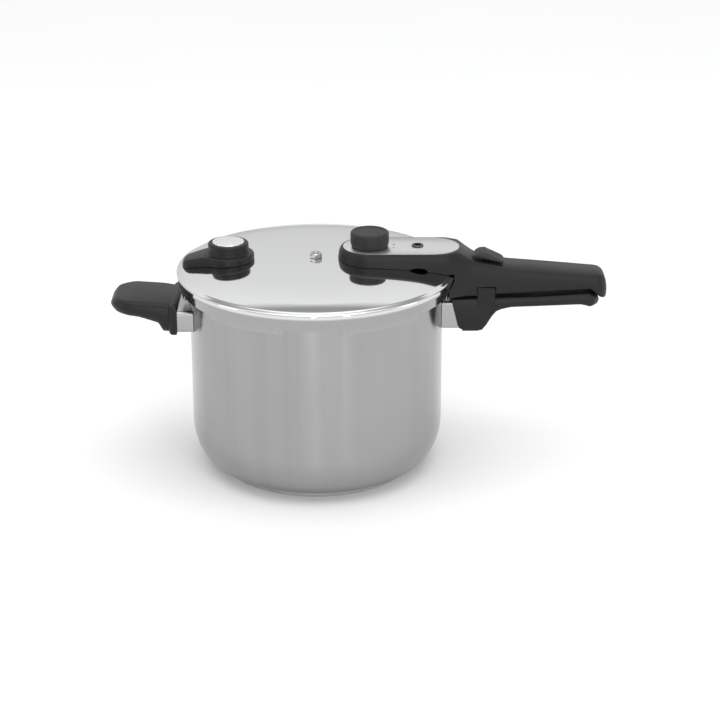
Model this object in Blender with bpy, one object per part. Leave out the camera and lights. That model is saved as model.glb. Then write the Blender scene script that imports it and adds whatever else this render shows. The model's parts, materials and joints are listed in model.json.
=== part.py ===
"""A stovetop pressure cooker with a bayonet lid, in metres, +Z up.

The origin is the centre of the base's underside, the long handle points to +X and
the helper handle to -X. The lid lifts off the pot along +Z once it is turned open.
"""

import math

import bmesh
import bpy
from mathutils import Matrix

# Fits between pieces
GAP = 0.0003  # between two pieces that rest on each other
RUNNING = 0.0004  # round a pin or a slide that moves

# Pot: pressed steel shell with an encapsulated base
POT_RADIUS = 0.111
POT_WALL = 0.0012
POT_RIM_Z = 0.173
CORNER_WIDTH = 0.0235
CORNER_HEIGHT = 0.038
BASE_HEIGHT = 0.0048
BASE_SHEET = 0.0006
FLANGE_WIDTH = 0.0012  # of the rim between the tabs
FLANGE_SHEET = 0.0012
TAB_COUNT = 6
TAB_WIDTH = 0.0052  # how far a bayonet tab stands out from the wall
TAB_SHEET = 0.0012
TAB_DEPTH = 0.0094  # from the rim's top down to a tab's lower edge
DOME_SHARES = (0, 0.3, 0.6, 0.8, 0.92, 1)  # of its radius, where the dome's facets meet
ROUND_STEPS = 72  # facets round the pot and the lid
FINE_STEPS = 48  # facets round the ring and the base
COIL_STEPS = 8  # straight pieces in one turn of a spring
TAB_STEPS = 5  # facets across one tab

# Lid: pressed steel dome whose skirt ends in lugs that pass under the tabs
SKIRT_GAP = 0.0006  # between the tabs and the skirt's narrow lower end
LID_SHEET = 0.0012
DOME_RISE = 0.0075
DOME_ROUND = 0.6  # share of the rise that is an even curve; the rest steepens at the edge
DOME_HEIGHT = 0.017  # from the pot's rim to the top of the dome
BEAD_WIDTH = 0.0042  # how far the bead stands out past the skirt's lower end
LUG_SHEET = 0.0012
LUG_DROP = 0.0004  # play between a lug and the tab above it
NOTCH_HEIGHT = 0.004
NOTCH_STEPS = 5.6  # facets across one notch in the skirt's lower edge

# Sealing ring
RING_WIDTH = 0.0105

# Long handles, one on the pot and one on the lid above it
HANDLE_END_X = POT_RADIUS + 0.1430
SLEEVE_WALL = 0.0008
POT_GRIP_HALF_WIDTH = 0.0175
LONG_SLEEVE_HALF_WIDTH = 0.018
LONG_SLEEVE_LOW = POT_RIM_Z - 0.0430
LONG_SLEEVE_HIGH = POT_RIM_Z - 0.0183
LONG_SLEEVE_X = POT_RADIUS + 0.0074
LONG_SLEEVE_SLANT = 0.0062  # how much further the lower edge reaches
HELPER_SLEEVE_HALF_WIDTH = 0.034
HELPER_SLEEVE_LOW = POT_RIM_Z - 0.0410
HELPER_SLEEVE_HIGH = POT_RIM_Z - 0.0220
HELPER_SLEEVE_X = POT_RADIUS + 0.0090
HELPER_END_X = POT_RADIUS + 0.0685
BRACKET_SHEET = 0.0015
TONGUE_SHEET = 0.0025
TONGUE_REACH = 0.0325  # of a bracket's tongue from the wall

# Screws
SCREW_RADIUS = 0.002
SCREW_HEAD_RADIUS = 0.004
SCREW_HEAD_HEIGHT = 0.0022
POT_SCREW_LENGTH = 0.0175

# Bayonet stop: a tab on the pot's handle that stands in a notch of the lid's handle
STOP_INNER = POT_RADIUS + 0.0310
STOP_OUTER = POT_RADIUS + 0.0460
STOP_FRONT = 0.018
STOP_BACK = 0.0083
STOP_TOP = POT_RIM_Z - 0.0050
STOP_PLAY = 0.0008

# Head of the lid's handle
HEAD_TOP_Z = POT_RIM_Z + 0.0275
HEAD_FRONT_X = 0.0465
HEAD_REAR_X = POT_RADIUS - 0.0092
PLATE_HALF_WIDTH = 0.023
PLATE_RIM = 0.0043  # width of the moulded rim round the plate
PLATE_SHEET = 0.0008
HEAD_ROOF_Z = HEAD_TOP_Z - 0.0035
NECK_HALF_WIDTH = 0.0205
LID_GRIP_HALF_WIDTH = 0.0172

# Regulator under the pressure knob
REGULATOR_X = 0.0468
KNOB_RADIUS = 0.0168
KNOB_TOP_Z = HEAD_TOP_Z + 0.0135
KNOB_SHAFT_RADIUS = 0.0035
VALVE_RADIUS = 0.0047
VALVE_BORE = 0.0034
VALVE_FLANGE = 0.008
PLUNGER_RADIUS = 0.003
STEM_RADIUS = 0.0012

# Pressure indicator and its window
INDICATOR_X = POT_RADIUS - 0.0225
INDICATOR_RADIUS = 0.0021
INDICATOR_TOP_Z = HEAD_TOP_Z - 0.0005
INDICATOR_TRAVEL = 0.004
WINDOW_RADIUS = 0.0052
WINDOW_BORE = 0.0032

# Lock slider on the neck
SLIDER_X = POT_RADIUS + 0.0400
SLIDER_Z = POT_RIM_Z + 0.0170
SLIDER_SLOPE = math.radians(13)
SLIDER_HALF_LENGTH = 0.0130
SLIDER_HALF_WIDTH = 0.0100
SLIDER_TRAVEL = 0.008
BOLT_HALF_WIDTH = 0.005
BOLT_SHEET = 0.0015
BOLT_DEPTH = 0.0062  # of the bolt below the neck's surface

# Safety valve in the middle of the lid
SAFETY_HEX = 0.0058
SAFETY_STEM = 0.0037
SAFETY_HEIGHT = 0.0042  # of the hexagon over the top of the dome
SAFETY_BORE = 0.0026

# Auxiliary handle on the lid
AUX_X = 0.0347 - POT_RADIUS
AUX_RADIUS = 0.0224
AUX_COLLAR_RADIUS = 0.0177
AUX_TOP_Z = POT_RIM_Z + 0.0310
AUX_STEP_Z = POT_RIM_Z + 0.0218  # of the ledge round the collar
AUX_CAP_RADIUS = 0.0139
AUX_TONGUE_REACH = 0.0403

# Places that follow from the sizes above
BASE_RADIUS = POT_RADIUS - CORNER_WIDTH
TAB_RADIUS = POT_RADIUS + TAB_WIDTH
SKIRT_LOW_RADIUS = TAB_RADIUS + SKIRT_GAP + LID_SHEET
LID_RADIUS = SKIRT_LOW_RADIUS + BEAD_WIDTH
LUG_TOP_Z = POT_RIM_Z - TAB_DEPTH - LUG_DROP
SKIRT_LOW_Z = LUG_TOP_Z - LUG_SHEET
DOME_TOP_Z = POT_RIM_Z + DOME_HEIGHT
DOME_RADIUS = SKIRT_LOW_RADIUS - 0.0015
DOME_EDGE_Z = DOME_TOP_Z - DOME_RISE
INNER_EDGE_Z = DOME_EDGE_Z - 2 * LID_SHEET
SAFETY_TOP_Z = DOME_TOP_Z + SAFETY_HEIGHT
STEP = math.tau / ROUND_STEPS
UNDER_HANDLES_Z = POT_RIM_Z - 0.053
IN_LID_Z = POT_RIM_Z - 0.003
OVER_LID_Z = POT_RIM_Z + 0.037


def empty(name, x=0.0, z=0.0, slope=0.0, parent=None):
    """A frame on a joint's axis, turned about Y by slope."""
    frame = bpy.data.objects.new(name, None)
    frame.location = (x, 0, z)
    frame.rotation_euler = (0, slope, 0)
    frame.parent = parent
    bpy.context.scene.collection.objects.link(frame)
    return frame


def material(name, colour, roughness, metallic):
    made = bpy.data.materials.new(name)
    made.use_nodes = True
    shader = made.node_tree.nodes["Principled BSDF"]
    shader.inputs["Base Color"].default_value = (*colour, 1)
    shader.inputs["Roughness"].default_value = roughness
    shader.inputs["Metallic"].default_value = metallic
    return made


def add(name, bm, parent, finish):
    """Closes up the mesh, turns its faces outwards and makes an object of it."""
    bmesh.ops.remove_doubles(bm, verts=bm.verts, dist=1e-6)
    bmesh.ops.recalc_face_normals(bm, faces=bm.faces)
    mesh = bpy.data.meshes.new(name)
    bm.to_mesh(mesh)
    bm.free()
    mesh.shade_smooth()
    mesh.set_sharp_from_angle(angle=math.radians(35))
    obj = bpy.data.objects.new(name, mesh)
    obj.parent = parent
    bpy.context.scene.collection.objects.link(obj)
    if finish:
        colour, roughness, metallic = finish
        mesh.materials.append(material(name, colour, roughness, metallic))
    return obj


def cut(obj, bm, operation="DIFFERENCE", parent=None):
    """Cuts bm, placed in parent's frame, from obj, or joins or intersects it."""
    name = f"{obj.name}_tool_{len(obj.modifiers)}"
    tool = add(name, bm, parent or obj.parent, None)
    tool.hide_render = True
    tool.display_type = "WIRE"
    modifier = obj.modifiers.new(name, "BOOLEAN")
    modifier.operation = operation
    modifier.solver = "EXACT"
    modifier.object = tool


def spin_profile(profile, steps=ROUND_STEPS, centre=(0, 0)):
    """Turns (radius, z) points about a vertical axis; ends on the axis close by themselves."""
    bm = bmesh.new()
    verts = [bm.verts.new((radius, 0, z)) for radius, z in profile]
    for first, second in zip(verts, verts[1:]):
        bm.edges.new((first, second))
    if profile[0][0] > 0:
        bm.edges.new((verts[-1], verts[0]))
    geometry = bm.verts[:] + bm.edges[:]
    bmesh.ops.spin(bm, geom=geometry, cent=(0, 0, 0), axis=(0, 0, 1), angle=math.tau,
                   steps=steps, use_merge=True)
    bmesh.ops.remove_doubles(bm, verts=bm.verts, dist=1e-6)
    bmesh.ops.translate(bm, verts=bm.verts, vec=(*centre, 0))
    return bm


def prism(outline, low, high, plane="XY"):
    """Extrudes an outline from low to high, across the plane it is drawn in."""
    bm = bmesh.new()
    if plane == "XY":
        ring = [bm.verts.new((u, v, low)) for u, v in outline]
        move = (0, 0, high - low)
    else:
        ring = [bm.verts.new((u, low, v)) for u, v in outline]
        move = (0, high - low, 0)
    face = bm.faces.new(ring)
    made = bmesh.ops.extrude_face_region(bm, geom=[face])["geom"]
    moved = [item for item in made if isinstance(item, bmesh.types.BMVert)]
    bmesh.ops.translate(bm, verts=moved, vec=move)
    bmesh.ops.recalc_face_normals(bm, faces=bm.faces)
    return bm


def box(x, y, z):
    """A box between the pairs x, y and z."""
    outline = [(x[0], y[0]), (x[1], y[0]), (x[1], y[1]), (x[0], y[1])]
    return prism(outline, *z)


def arc(centre, radius, start, end, steps):
    """Points of an arc from start to end in degrees; radius may be a pair."""
    across, along = radius if isinstance(radius, tuple) else (radius, radius)
    angles = [math.radians(start + (end - start) * i / steps) for i in range(steps + 1)]
    return [(centre[0] + across * math.cos(a), centre[1] + along * math.sin(a)) for a in angles]


def disc(radius, low, high, centre=(0, 0), steps=20):
    """A round cutter or bar."""
    return spin_profile([(0, high), (radius, high), (radius, low), (0, low)], steps, centre)


def tube(outer, inner, low, high, steps=24, centre=(0, 0)):
    profile = [(inner, high), (outer, high), (outer, low), (inner, low)]
    return spin_profile(profile, steps, centre)


def placed(points, side=1):
    """Points given by how far they lie out from the wall and up from the pot's rim."""
    return [(side * (POT_RADIUS + out), POT_RIM_Z + up) for out, up in points]


def dome_z(radius):
    """Height of the dome's outer surface, which steepens towards the edge."""
    share = radius / DOME_RADIUS
    return DOME_TOP_Z - DOME_RISE * (DOME_ROUND * share ** 2 + (1 - DOME_ROUND) * share ** 6)


def under_dome_z(radius):
    return dome_z(radius) - LID_SHEET


def lid_envelope():
    """The space that the lid takes up, with the resting gap round it."""
    radii = [DOME_RADIUS * share for share in DOME_SHARES]
    top = [(radius, dome_z(radius) + GAP) for radius in radii]
    side = [(LID_RADIUS + GAP, DOME_EDGE_Z), (LID_RADIUS + GAP, UNDER_HANDLES_Z), (0, UNDER_HANDLES_Z)]
    return spin_profile(top + side)


def sector(low_radius, high_radius, half_angle, low, high, steps=8, turned=0.0):
    """A curved plate that follows the wall, centred on the angle turned, in degrees."""
    first, last = turned - half_angle, turned + half_angle
    outer = arc((0, 0), high_radius, first, last, steps)
    inner = arc((0, 0), low_radius, last, first, steps)
    return prism(outer + inner, low, high)


def pull(bm, faces, move):
    """Extrudes faces and moves the new points by the function move; returns the new faces."""
    edges = {edge for face in faces for edge in face.edges}
    made = bmesh.ops.extrude_face_region(bm, geom=faces + list(edges))["geom"]
    for item in made:
        if isinstance(item, bmesh.types.BMVert):
            item.co = move(item.co)
    bm.normal_update()
    return [item for item in made if isinstance(item, bmesh.types.BMFace)]


def out_to(radius):
    """Moves a point straight out from the axis to a radius."""

    def move(point):
        scale = radius / math.hypot(point.x, point.y)
        return (point.x * scale, point.y * scale, point.z)

    return move


def down_to(z):
    def move(point):
        return (point.x, point.y, z)

    return move


def in_sectors(face, steps):
    """Whether a face's centre lies in one of the sectors, which are counted in facets."""
    centre = face.calc_center_median()
    pitch = ROUND_STEPS // TAB_COUNT
    facets = math.atan2(centre.y, centre.x) / STEP
    offset = (facets + pitch / 2) % pitch - pitch / 2
    return abs(offset) < steps / 2 - 0.1


def half_facet_turn(bm):
    """Turns a mesh by half a facet, so that a facet's middle lies on +X."""
    bmesh.ops.rotate(bm, verts=bm.verts, matrix=Matrix.Rotation(STEP / 2, 3, "Z"))


# Finishes: colour, roughness, metallic
MIRROR_STEEL = ((0.80, 0.80, 0.81), 0.08, 1.0)
SATIN_STEEL = ((0.62, 0.62, 0.63), 0.30, 1.0)
BRUSHED_STEEL = ((0.70, 0.70, 0.71), 0.35, 1.0)
PLAIN_STEEL = ((0.55, 0.55, 0.56), 0.35, 1.0)
ALUMINIUM = ((0.78, 0.78, 0.78), 0.45, 1.0)
BLACK_PLASTIC = ((0.035, 0.036, 0.038), 0.42, 0.0)
SILICONE = ((0.55, 0.56, 0.58), 0.55, 0.0)


def make_pot_shell(pot):
    floor = BASE_HEIGHT + GAP
    corner = (BASE_RADIUS, floor + CORNER_HEIGHT)
    outer = arc(corner, (CORNER_WIDTH, CORNER_HEIGHT), 0, -90, 7)
    inner = arc(corner, (CORNER_WIDTH - POT_WALL, CORNER_HEIGHT - POT_WALL), -90, 0, 7)
    bore = POT_RADIUS - POT_WALL
    flange = POT_RADIUS + FLANGE_WIDTH
    flange_low = POT_RIM_Z - FLANGE_SHEET
    rim = [(bore, POT_RIM_Z), (flange, POT_RIM_Z), (flange, flange_low), (POT_RADIUS, flange_low)]
    profile = [(0, floor + POT_WALL)] + inner + rim + outer + [(0, floor)]
    bm = spin_profile(profile)
    bmesh.ops.recalc_face_normals(bm, faces=bm.faces)
    half_facet_turn(bm)
    bm.normal_update()
    edge = [face for face in bm.faces
            if flange_low < face.calc_center_median().z < POT_RIM_Z
            and math.hypot(*face.calc_center_median().xy) > POT_RADIUS
            and in_sectors(face, TAB_STEPS)]
    edge = pull(bm, edge, out_to(TAB_RADIUS - TAB_SHEET))
    pull(bm, edge, out_to(TAB_RADIUS))
    lip = [face for face in bm.faces if face.normal.z < -0.9
           and math.hypot(*face.calc_center_median().xy) > TAB_RADIUS - TAB_SHEET
           and face.calc_center_median().z > flange_low - GAP]
    pull(bm, lip, down_to(POT_RIM_Z - TAB_DEPTH))
    add("pot_shell", bm, pot, SATIN_STEEL)


def make_base(pot):
    foot = 0.0008  # rounding at the cap's lower edge
    wall = BASE_RADIUS - BASE_SHEET
    profile = [(0, BASE_SHEET), (wall, BASE_SHEET), (wall, BASE_HEIGHT), (BASE_RADIUS, BASE_HEIGHT),
               (BASE_RADIUS, foot), (BASE_RADIUS - foot, 0), (0, 0)]
    add("base_cap", spin_profile(profile, FINE_STEPS), pot, SATIN_STEEL)
    core = disc(wall - GAP, BASE_SHEET + GAP, BASE_HEIGHT, steps=FINE_STEPS)
    add("base_core", core, pot, ALUMINIUM)


def screw(name, parent, finish, x, y, head_low, length, up=True):
    """A pan-head screw that points up from its head."""
    head_high = head_low + SCREW_HEAD_HEIGHT
    profile = [(0, head_high + length), (SCREW_RADIUS, head_high + length),
               (SCREW_RADIUS, head_high), (SCREW_HEAD_RADIUS, head_high),
               (SCREW_HEAD_RADIUS, head_low + 0.0008), (SCREW_HEAD_RADIUS * 0.75, head_low),
               (0, head_low)]
    return add(name, spin_profile(profile, 16, (x, y)), parent, finish)


def make_bracket(name, pot, side, half_width, low, high, tongue_low, tongue_half_width, holes):
    """A plate welded to the wall with a tongue that carries the handle."""
    plate_low = POT_RADIUS + GAP
    half_angle = math.degrees(math.asin(half_width / plate_low))
    plate = sector(plate_low, plate_low + BRACKET_SHEET, half_angle, low + 0.0025, high - 0.0025,
                   turned=0 if side > 0 else 180)
    bracket = add(name, plate, pot, PLAIN_STEEL)
    reach = sorted((side * (POT_RADIUS + 0.001), side * (POT_RADIUS + TONGUE_REACH)))
    across = (-tongue_half_width, tongue_half_width)
    cut(bracket, box(reach, across, (tongue_low, tongue_low + TONGUE_SHEET)), "UNION")
    for x, y in holes:
        cut(bracket, disc(SCREW_RADIUS + GAP, low, high, (x, y), 16))


def make_flame_guard(name, pot, side, outline, half_width, low, high):
    """A steel sleeve between the wall and the handle, open at both ends."""
    sleeve = add(name, prism(outline(0), -half_width, half_width, "XZ"), pot, MIRROR_STEEL)
    inside = half_width - SLEEVE_WALL
    cut(sleeve, prism(outline(SLEEVE_WALL), -inside, inside, "XZ"))
    cut(sleeve, disc(POT_RADIUS + GAP, low - 0.01, high + 0.01, steps=ROUND_STEPS))


def long_sleeve_outline(inset):
    low, high = LONG_SLEEVE_LOW + inset, LONG_SLEEVE_HIGH - inset
    end = LONG_SLEEVE_X + inset * 20
    start = POT_RADIUS - 0.016 - inset
    return [(start, low), (end + LONG_SLEEVE_SLANT, low), (end, high - 0.005), (end, high),
            (start, high)]


def helper_sleeve_outline(inset):
    low, high = HELPER_SLEEVE_LOW + inset, HELPER_SLEEVE_HIGH - inset
    end = HELPER_SLEEVE_X + inset * 20
    start = 0.016 + inset - POT_RADIUS
    return [(start, low), (start, high), (-end, high), (-end, low)]


def make_pot_handle(pot):
    root = LONG_SLEEVE_X + GAP
    slant = root + LONG_SLEEVE_SLANT
    side = [(root, POT_RIM_Z - 0.0148)]
    side += placed([(0.0840, -0.0125), (0.1270, -0.0098), (0.1335, -0.0125), (0.1365, -0.0170),
                    (0.1320, -0.0222), (0.1252, -0.0222), (0.1189, -0.0205), (0.0963, -0.0204),
                    (0.0542, -0.0226), (0.0441, -0.0290), (0.0382, -0.0400), (0.0331, -0.0443)])
    side += [(slant + 0.0035, LONG_SLEEVE_LOW - 0.0017), (slant, LONG_SLEEVE_LOW),
             (root, LONG_SLEEVE_HIGH - 0.005)]
    handle = add("pot_handle", prism(side, -0.03, 0.03, "XZ"), pot, BLACK_PLASTIC)
    half = POT_GRIP_HALF_WIDTH
    tip = HANDLE_END_X - 0.006
    plan = [(POT_RADIUS, -half - 0.0005), (tip - 0.012, -half)]
    plan += arc((tip - 0.012, 0), (0.012, half), -60, 60, 6)
    plan += [(tip - 0.012, half), (POT_RADIUS, half + 0.0005)]
    cut(handle, prism(plan, UNDER_HANDLES_Z, IN_LID_Z), "INTERSECT")
    low, high = math.asin(STOP_BACK / STOP_OUTER), math.asin(STOP_FRONT / STOP_INNER)
    first, last = -math.degrees(high), -math.degrees(low)
    stop = arc((0, 0), STOP_OUTER, first, last, 3) + arc((0, 0), STOP_INNER, last, first, 3)
    cut(handle, prism(stop, STOP_TOP - 0.013, STOP_TOP), "UNION")
    tongue_z = LONG_SLEEVE_LOW + 0.0110
    reach = POT_RADIUS + TONGUE_REACH
    cut(handle, box((POT_RADIUS - 0.006, reach + GAP), (-0.0083, 0.0083),
                    (tongue_z - GAP, tongue_z + TONGUE_SHEET + GAP)))
    x = reach - 0.008
    head = LONG_SLEEVE_LOW - 0.0014
    cut(handle, disc(SCREW_RADIUS + GAP, UNDER_HANDLES_Z, head + SCREW_HEAD_HEIGHT + POT_SCREW_LENGTH,
                     (x, 0), 16))
    cut(handle, disc(SCREW_HEAD_RADIUS + GAP, UNDER_HANDLES_Z, head + SCREW_HEAD_HEIGHT + GAP,
                     (x, 0), 16))
    screw("pot_handle_screw", pot, PLAIN_STEEL, x, 0, head, POT_SCREW_LENGTH - GAP)
    make_bracket("pot_handle_bracket", pot, 1, 0.0145, LONG_SLEEVE_LOW, LONG_SLEEVE_HIGH, tongue_z,
                 0.008, [(x, 0)])
    make_flame_guard("pot_flame_guard", pot, 1, long_sleeve_outline, LONG_SLEEVE_HALF_WIDTH,
                     LONG_SLEEVE_LOW, LONG_SLEEVE_HIGH)


def make_helper_handle(pot):
    root = -HELPER_SLEEVE_X - GAP
    side = [(root, HELPER_SLEEVE_HIGH + 0.0035)]
    side += placed([(0.0180, -0.0168), (0.0287, -0.0154), (0.0480, -0.0148), (0.0610, -0.0165),
                    (0.0670, -0.0195), (0.0685, -0.0228), (0.0655, -0.0264), (0.0580, -0.0274),
                    (0.0430, -0.0290), (0.0290, -0.0330), (0.0235, -0.0358), (0.0220, -0.0405),
                    (0.0200, -0.0418)], -1)
    side += [(root, HELPER_SLEEVE_LOW - 0.0008)]
    handle = add("helper_handle", prism(side, -0.05, 0.05, "XZ"), pot, BLACK_PLASTIC)
    half = HELPER_SLEEVE_HALF_WIDTH
    broad = -POT_RADIUS - 0.039  # from here the ear's outline turns in to its tip
    plan = [(-POT_RADIUS, half), (-POT_RADIUS - 0.0175, half), (-POT_RADIUS - 0.0190, half - 0.0025)]
    plan += arc((broad, 0), (HELPER_END_X + broad, half - 0.004), 90, 270, 14)
    plan += [(-POT_RADIUS - 0.0190, -half + 0.0025), (-POT_RADIUS - 0.0175, -half), (-POT_RADIUS, -half)]
    cut(handle, prism(plan, UNDER_HANDLES_Z, IN_LID_Z), "INTERSECT")
    tongue_z = HELPER_SLEEVE_LOW + 0.0085
    tongue_half = 0.022
    reach = POT_RADIUS + TONGUE_REACH - 0.007
    cut(handle, box((-reach - 0.007 - GAP, 0.006 - POT_RADIUS), (-tongue_half - GAP, tongue_half + GAP),
                    (tongue_z - GAP, tongue_z + TONGUE_SHEET + GAP)))
    x = -HELPER_SLEEVE_X - 0.0065
    head = HELPER_SLEEVE_LOW - 0.0004
    length = 0.0150
    holes = [(x, -0.014), (x, 0.014)]
    for name, place in zip(("front", "back"), holes):
        cut(handle, disc(SCREW_RADIUS + GAP, UNDER_HANDLES_Z, head + SCREW_HEAD_HEIGHT + length, place))
        cut(handle, disc(SCREW_HEAD_RADIUS + GAP, UNDER_HANDLES_Z, head + SCREW_HEAD_HEIGHT + GAP, place))
        screw(f"helper_screw_{name}", pot, PLAIN_STEEL, *place, head, length - GAP)
    make_bracket("helper_bracket", pot, -1, 0.0297, HELPER_SLEEVE_LOW, HELPER_SLEEVE_HIGH, tongue_z,
                 tongue_half, holes)
    make_flame_guard("helper_flame_guard", pot, -1, helper_sleeve_outline,
                     HELPER_SLEEVE_HALF_WIDTH, HELPER_SLEEVE_LOW, HELPER_SLEEVE_HIGH)


def make_sealing_ring(lid):
    """A silicone ring with an upper and a lower lip, open towards the axis."""
    outer = TAB_RADIUS - 0.0004
    inner = outer - RING_WIDTH
    low = POT_RIM_Z + GAP
    high = INNER_EDGE_Z - GAP
    lip = 0.0019
    profile = [(inner, high - 0.0008), (outer - 0.0012, high), (outer, high - 0.0012),
               (outer, low), (inner, low), (inner, low + lip), (outer - 0.0030, low + lip),
               (outer - 0.0030, high - lip), (inner, high - 0.0008 - lip / 2)]
    add("sealing_ring", spin_profile(profile, FINE_STEPS), lid, SILICONE)


def make_lid_shell(lid, holes):
    edge_z = DOME_EDGE_Z
    bead_z = edge_z - 0.0028
    radii = [DOME_RADIUS * share for share in DOME_SHARES]
    outer = [(radius, dome_z(radius)) for radius in radii]
    outer += [(DOME_RADIUS + 0.0018, edge_z - 0.0008), (DOME_RADIUS + 0.0020, edge_z - 0.0018)]
    outer += arc((LID_RADIUS - 0.0018, bead_z), 0.0018, 75, -20, 3)
    wall_top = (LID_RADIUS - 0.0008, bead_z - 0.0040)
    outer += [wall_top, (SKIRT_LOW_RADIUS, SKIRT_LOW_Z + NOTCH_HEIGHT),
              (SKIRT_LOW_RADIUS, SKIRT_LOW_Z)]
    inside = [(SKIRT_LOW_RADIUS - LID_SHEET, SKIRT_LOW_Z),
              (SKIRT_LOW_RADIUS - LID_SHEET, LUG_TOP_Z),
              (SKIRT_LOW_RADIUS - LID_SHEET, SKIRT_LOW_Z + NOTCH_HEIGHT),
              (wall_top[0] - LID_SHEET, wall_top[1]),
              (LID_RADIUS - 0.0018 - LID_SHEET, bead_z),
              (DOME_RADIUS, INNER_EDGE_Z)]
    near_edge = DOME_RADIUS - 0.008
    inside += [(radius, under_dome_z(radius)) for radius in [near_edge] + radii[-2::-1]]
    bm = spin_profile(outer + inside)
    bmesh.ops.recalc_face_normals(bm, faces=bm.faces)
    half_facet_turn(bm)
    bm.normal_update()
    skirt_in = SKIRT_LOW_RADIUS - LID_SHEET
    fold = [face for face in bm.faces
            if SKIRT_LOW_Z < face.calc_center_median().z < LUG_TOP_Z
            and math.hypot(*face.calc_center_median().xy) < skirt_in + GAP
            and in_sectors(face, TAB_STEPS)]
    pull(bm, fold, out_to(POT_RADIUS + FLANGE_WIDTH + GAP))
    shell = add("lid_shell", bm, lid, MIRROR_STEEL)
    pitch = 360 / TAB_COUNT
    half_notch = NOTCH_STEPS * 360 / ROUND_STEPS / 2
    for i in range(TAB_COUNT):
        notch = sector(TAB_RADIUS - 0.003, LID_RADIUS + 0.005, half_notch, SKIRT_LOW_Z - 0.01,
                       SKIRT_LOW_Z + NOTCH_HEIGHT - GAP, 4, pitch * (i + 0.5))
        cut(shell, notch)
    for x, y, radius in holes:
        cut(shell, disc(radius, IN_LID_Z, OVER_LID_Z, (x, y), 20))


def lid_screw(name, lid, x, y, top_z):
    """A screw from inside the lid up into a handle; returns its hole in the lid."""
    head_high = under_dome_z(math.hypot(x, y) + SCREW_HEAD_RADIUS) - GAP
    screw(name, lid, PLAIN_STEEL, x, y, head_high - SCREW_HEAD_HEIGHT, top_z - GAP - head_high)
    return (x, y, SCREW_RADIUS + GAP)


def make_lid_handle(lid, screws, roof):
    side = [(0.0, IN_LID_Z), (0.0, HEAD_TOP_Z), (POT_RADIUS + 0.0135, HEAD_TOP_Z)]
    side += placed([(0.0180, 0.0255), (0.0260, 0.0204), (0.0540, 0.0139), (0.0940, 0.0108),
                    (0.1290, 0.0078), (0.1370, 0.0045), (0.1415, -0.0015), (0.1430, -0.0130),
                    (0.1405, -0.0160), (0.1360, -0.0140), (0.1290, -0.0068), (0.0840, -0.0089),
                    (0.0455, -0.0108), (0.0290, -0.0125), (0.0105, -0.0125), (0.0105, 0.0020)])
    handle = add("lid_handle", prism(side, -0.04, 0.04, "XZ"), lid, BLACK_PLASTIC)
    half = PLATE_HALF_WIDTH + PLATE_RIM
    turn = math.degrees(math.acos(NECK_HALF_WIDTH / half))
    plan = arc((HEAD_FRONT_X, 0), half, 90, 270, 14)
    plan += arc((HEAD_REAR_X, 0), half, -90, -90 + turn, 4)
    tip = HANDLE_END_X + 0.0005
    neck = [(POT_RADIUS + 0.0190, NECK_HALF_WIDTH - 0.0006), (POT_RADIUS + 0.0340, 0.0192),
            (POT_RADIUS + 0.0540, LID_GRIP_HALF_WIDTH + 0.0006)]
    plan += [(x, -y) for x, y in neck]
    plan += arc((tip - 0.013, 0), (0.013, LID_GRIP_HALF_WIDTH), -90, 90, 10)
    plan += neck[::-1]
    plan += arc((HEAD_REAR_X, 0), half, 90 - turn, 90, 4)
    cut(handle, prism(plan, UNDER_HANDLES_Z, OVER_LID_Z), "INTERSECT")
    cut(handle, lid_envelope())
    recess = PLATE_HALF_WIDTH + GAP
    outline = arc((HEAD_FRONT_X, 0), recess, 90, 270, 14) + arc((HEAD_REAR_X, 0), recess, -90, 90, 14)
    cut(handle, prism(outline, HEAD_TOP_Z - PLATE_SHEET - GAP, HEAD_TOP_Z + 0.01))
    low = IN_LID_Z
    cut(handle, disc(VALVE_FLANGE + 0.003, low, roof, (REGULATOR_X, 0)))
    cut(handle, disc(KNOB_SHAFT_RADIUS + RUNNING, low, OVER_LID_Z, (REGULATOR_X, 0), 16))
    cut(handle, disc(0.0066, low, roof, (INDICATOR_X, 0)))
    cut(handle, disc(WINDOW_RADIUS - 0.0006, low, OVER_LID_Z, (INDICATOR_X, 0), 16))
    outlet = arc((INDICATOR_X, dome_z(INDICATOR_X + 0.004)), (0.008, 0.0026), 0, 180, 6)
    outlet = [(INDICATOR_X - 0.008, low), (INDICATOR_X + 0.008, low)] + outlet
    cut(handle, prism(outlet, -0.04, -0.003, "XZ"))
    for x, y in screws:
        cut(handle, disc(SCREW_RADIUS + GAP, low, roof + 0.0010, (x, y), 16))
    first, last = -15, -math.degrees(math.asin((STOP_BACK - GAP) / STOP_OUTER))
    notch = arc((0, 0), STOP_OUTER + STOP_PLAY, first, last, 3)
    notch += arc((0, 0), STOP_INNER - STOP_PLAY, last, first, 3)
    cut(handle, prism(notch, UNDER_HANDLES_Z, STOP_TOP + STOP_PLAY))
    return handle


def make_cover_plate(lid):
    low, high = HEAD_TOP_Z - PLATE_SHEET, HEAD_TOP_Z
    outline = arc((HEAD_FRONT_X, 0), PLATE_HALF_WIDTH, 90, 270, 16)
    outline += arc((HEAD_REAR_X, 0), PLATE_HALF_WIDTH, -90, 90, 16)
    plate = add("cover_plate", prism(outline, low, high), lid, BRUSHED_STEEL)
    cut(plate, disc(KNOB_SHAFT_RADIUS + RUNNING, low - 0.01, high + 0.01, (REGULATOR_X, 0), 16))
    cut(plate, disc(WINDOW_RADIUS - 0.0006, low - 0.01, high + 0.01, (INDICATOR_X, 0), 16))


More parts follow.
